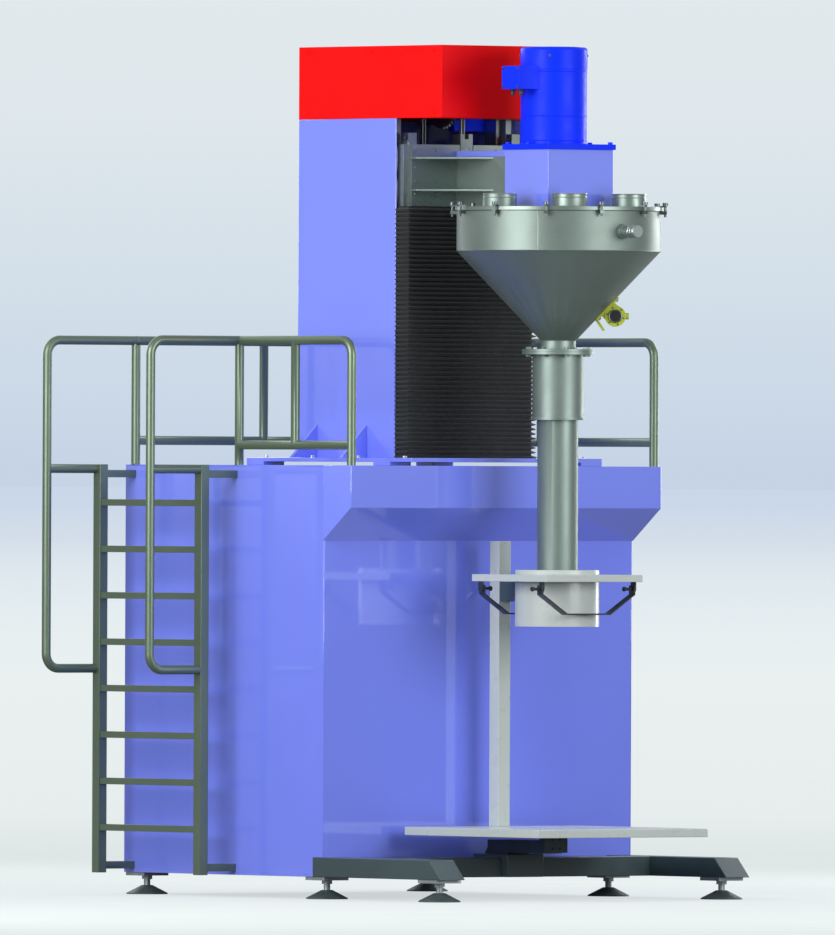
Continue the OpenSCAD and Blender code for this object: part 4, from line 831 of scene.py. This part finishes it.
def vibrator_bolts(bm):
    """Four bolts that hold the drum's foot to the pad on the cone."""
    for along in (-PAD_BOLT_ALONG, PAD_BOLT_ALONG):
        for across in (-PAD_BOLT_ACROSS, PAD_BOLT_ACROSS):
            place = drum - vib_normal * PAD_BOLT_DROP + vib_along * along + vib_across * across
            bolt(bm, place, vib_normal, PAD_BOLT_R)


detail("vibrator_port_plugs", vibrator_ports, PORT, CARRIAGE, "black_paint")
detail("vibrator_port_rings", vibrator_ring, DULL, CARRIAGE, "machined_steel")
detail("vibrator_bolts", vibrator_bolts, BRIGHT, CARRIAGE, "machined_steel")

BASE_BOLT_R = 0.011
BASE_BOLT_INSET = 0.045


def base_bolts(bm):
    """Four bolts along each side of the column's base."""
    low, high = span("column_base")
    for x in (low.x + BASE_BOLT_INSET, high.x - BASE_BOLT_INSET):
        for share in (0.08, 0.36, 0.64, 0.92):
            bolt(bm, (x, low.y + (high.y - low.y) * share, high.z), UP, BASE_BOLT_R)


detail("column_base_bolts", base_bolts, BRIGHT, FRAME_BODY, "machined_steel")

CAP_SCREW_R = 0.009
CAP_SCREW_H = 0.003
CAP_SCREW_INSET = 0.030


def cap_screws(bm):
    """Flat screw heads in the red cap's two sides."""
    low, high = span("column_cap")
    for z in (low.z + CAP_SCREW_INSET, high.z - CAP_SCREW_INSET):
        for share in (0.06, 0.5, 0.94):
            y = low.y + (high.y - low.y) * share
            for x, way in ((low.x, -1), (high.x, 1)):
                washer(bm, (x, y, z), (way, 0, 0), CAP_SCREW_R, CAP_SCREW_H)


detail("cap_screws", cap_screws, MATS["red_paint"], FRAME_BODY, "red_paint")

RAIL_R = 0.02415


def rail_beads(bm):
    """Weld beads at the feet of the two rear posts and beside the hand loops' top bars."""
    low, high = span("guardrails")
    deck_top = span("deck")[1].z
    reach = (high.x - low.x) / 2 - RAIL_R
    mid = (high.x + low.x) / 2
    for x in (mid - reach, mid + reach):
        torus(bm, (x, high.y - RAIL_R, deck_top + 0.001), UP, RAIL_R, 0.0030, 40, 6, RIPPLE)
    loop_low, loop_high = span("handrail_loops")
    for y in (loop_low.y + RAIL_R, loop_high.y - RAIL_R):
        place = (mid - reach, y, high.z - RAIL_R)
        torus(bm, place, (1, 0, 0), RAIL_R, 0.0016, 40, 6, RIPPLE)


detail("rail_weld_beads", rail_beads, WELD, FRAME_BODY, "rail_paint")

CELL_DROP = 0.044
CELL_X = 0.0255
CELL_Z = 0.024
CELL_SINK = 0.016
CELL_SCREW_R = 0.0056
CELL_SCREW_H = 0.009


def cell_screws(bm):
    """Screw heads sunk in the four holes of the weighing arm's end."""
    low, high = span("weigh_arm")
    mid = (low.x + high.x) / 2
    z_mid = span("weigh_platform")[0].z - CELL_DROP
    for x in (-CELL_X, CELL_X):
        for z in (-CELL_Z, CELL_Z):
            cylinder(bm, (mid + x, low.y + CELL_SINK, z_mid + z), (0, -1, 0), CELL_SCREW_R,
                     CELL_SCREW_H, 0.0008, 24)


detail("cell_screws", cell_screws, PORT, FRAME_BODY, "black_paint")


# ---------------------------------------------------------------- stage, light and camera

FLOOR_R = 2500.0


def stage_floor():
    """A wide round floor that fades to blue-grey far away, where the camera sees it."""
    bm = bmesh.new()
    skin(bm, [[bm.verts.new((radius * math.cos(a), radius * math.sin(a), -0.0005))
               for a in turns(64)]
              for radius in (0.0001, 6.0, 14.0, 40.0, 120.0, 500.0, FLOOR_R)], ends=False)
    mesh = bpy.data.meshes.new("studio_floor")
    bm.to_mesh(mesh)
    bm.free()
    obj = bpy.data.objects.new("studio_floor", mesh)
    bpy.context.scene.collection.objects.link(obj)
    mat, tree, shader, coords = new_material("floor_grey")
    grain = noise(tree, coords, 2.0, 3.0)
    tree.links.new(ramp(tree, grain, (0.185, 0.195, 0.195), (0.205, 0.215, 0.215)),
                   shader.inputs["Base Color"])
    shader.inputs["Roughness"].default_value = 0.9
    shader.inputs["Specular IOR Level"].default_value = 0.0
    reach = tree.nodes.new("ShaderNodeVectorMath")
    reach.operation = "LENGTH"
    tree.links.new(coords, reach.inputs[0])
    share = tree.nodes.new("ShaderNodeMath")
    share.operation = "MULTIPLY"
    share.inputs[1].default_value = 1.0 / FLOOR_R
    tree.links.new(reach.outputs["Value"], share.inputs[0])
    glow = stops_ramp(tree, share.outputs[0], [
        (0.0, (0.60, 0.64, 0.64)), (0.004, (0.61, 0.65, 0.65)), (0.012, (0.69, 0.73, 0.73)),
        (0.05, (0.72, 0.76, 0.76)), (0.11, (0.66, 0.72, 0.75)), (0.25, (0.55, 0.61, 0.70)),
        (0.5, (0.49, 0.57, 0.70)), (1.0, (0.48, 0.56, 0.70))])
    tree.links.new(glow, shader.inputs["Emission Color"])
    tree.links.new(tree.nodes.new("ShaderNodeLightPath").outputs["Is Camera Ray"],
                   shader.inputs["Emission Strength"])
    mesh.materials.append(mat)


def studio_world():
    """A pale backdrop with a blue-grey band at the horizon, and a dimmer room that lights."""
    world = bpy.data.worlds.new("studio")
    bpy.context.scene.world = world
    world.use_nodes = True
    tree = world.node_tree
    tree.nodes.clear()
    out = tree.nodes.new("ShaderNodeOutputWorld")
    coords = tree.nodes.new("ShaderNodeTexCoord")
    split = tree.nodes.new("ShaderNodeSeparateXYZ")
    tree.links.new(coords.outputs["Generated"], split.inputs[0])
    scale = tree.nodes.new("ShaderNodeMath")
    scale.operation = "MULTIPLY_ADD"
    scale.inputs[1].default_value = 0.5
    scale.inputs[2].default_value = 0.5
    tree.links.new(split.outputs["Z"], scale.inputs[0])
    backdrop = tree.nodes.new("ShaderNodeBackground")
    tree.links.new(stops_ramp(tree, scale.outputs[0], [
        (0.0, (0.72, 0.77, 0.77)), (0.498, (0.58, 0.66, 0.79)), (0.5008, (0.565, 0.655, 0.79)),
        (0.5024, (0.61, 0.70, 0.80)), (0.5044, (0.665, 0.75, 0.82)), (0.507, (0.735, 0.80, 0.835)),
        (0.51, (0.765, 0.82, 0.85)), (1.0, (0.82, 0.86, 0.86))]), backdrop.inputs["Color"])
    room = tree.nodes.new("ShaderNodeBackground")
    tree.links.new(stops_ramp(tree, scale.outputs[0], [
        (0.0, (0.30, 0.33, 0.33)), (0.42, (0.36, 0.40, 0.40)), (0.55, (0.46, 0.50, 0.51)),
        (0.75, (0.58, 0.61, 0.62)), (1.0, (0.50, 0.53, 0.54))]), room.inputs["Color"])
    mix = tree.nodes.new("ShaderNodeMixShader")
    tree.links.new(tree.nodes.new("ShaderNodeLightPath").outputs["Is Camera Ray"],
                   mix.inputs[0])
    tree.links.new(room.outputs[0], mix.inputs[1])
    tree.links.new(backdrop.outputs[0], mix.inputs[2])
    tree.links.new(mix.outputs[0], out.inputs[0])


def softbox(name, place, target, size, power):
    """A white area light aimed at the target, which the camera doesn't see."""
    data = bpy.data.lights.new(name, "AREA")
    data.shape = "RECTANGLE"
    data.size, data.size_y = size
    data.energy = power
    obj = bpy.data.objects.new(name, data)
    obj.location = place
    obj.rotation_euler = (Vector(target) - Vector(place)).to_track_quat("-Z", "Y").to_euler()
    obj.visible_camera = False
    bpy.context.scene.collection.objects.link(obj)


def lights():
    """Four soft boxes round the machine."""
    middle = (cad_box[0] + cad_box[1]) / 2
    softbox("key", (-9.0, -1.5, 5.0), middle, (6, 6), 720)
    softbox("fill", (2.0, -10.0, 4.0), middle, (5, 5), 430)
    softbox("rim", (8.0, 1.0, 4.0), middle, (2.5, 6), 300)
    softbox("back", (1.0, 9.5, 5.5), middle, (6, 5), 240)


VIEW_AZIMUTH = -38.0
FRAME_HEIGHT = 5.012
SENSOR = 36.0
LENS = 900.0
VIEW_SIDE_SHIFT = 0.042
VIEW_CENTRE_Z = 2.305
ROLL = math.radians(0.25)
NEAR_SHARE = 0.05
FAR_SHARE = 40


def camera():
    """A very long lens, level with the machine's middle, looking at its front left corner."""
    data = bpy.data.cameras.new("photo_view")
    data.lens = LENS
    data.sensor_width = SENSOR
    data.sensor_fit = "AUTO"
    distance = FRAME_HEIGHT * LENS / SENSOR
    a = math.radians(VIEW_AZIMUTH)
    back = Vector((math.sin(a), -math.cos(a), 0.0))
    side = Vector((math.cos(a), math.sin(a), 0.0))
    target = side * VIEW_SIDE_SHIFT + Vector((0, 0, VIEW_CENTRE_Z))
    obj = bpy.data.objects.new("photo_view", data)
    obj.location = target + back * distance
    turn = (-back).to_track_quat("-Z", "Y").to_matrix() @ Matrix.Rotation(ROLL, 3, "Z")
    obj.rotation_euler = turn.to_euler()
    data.clip_start = distance * NEAR_SHARE
    data.clip_end = distance * FAR_SHARE
    bpy.context.scene.collection.objects.link(obj)
    bpy.context.scene.camera = obj


stage_floor()
studio_world()
lights()
camera()
bpy.context.scene.view_settings.view_transform = "Standard"
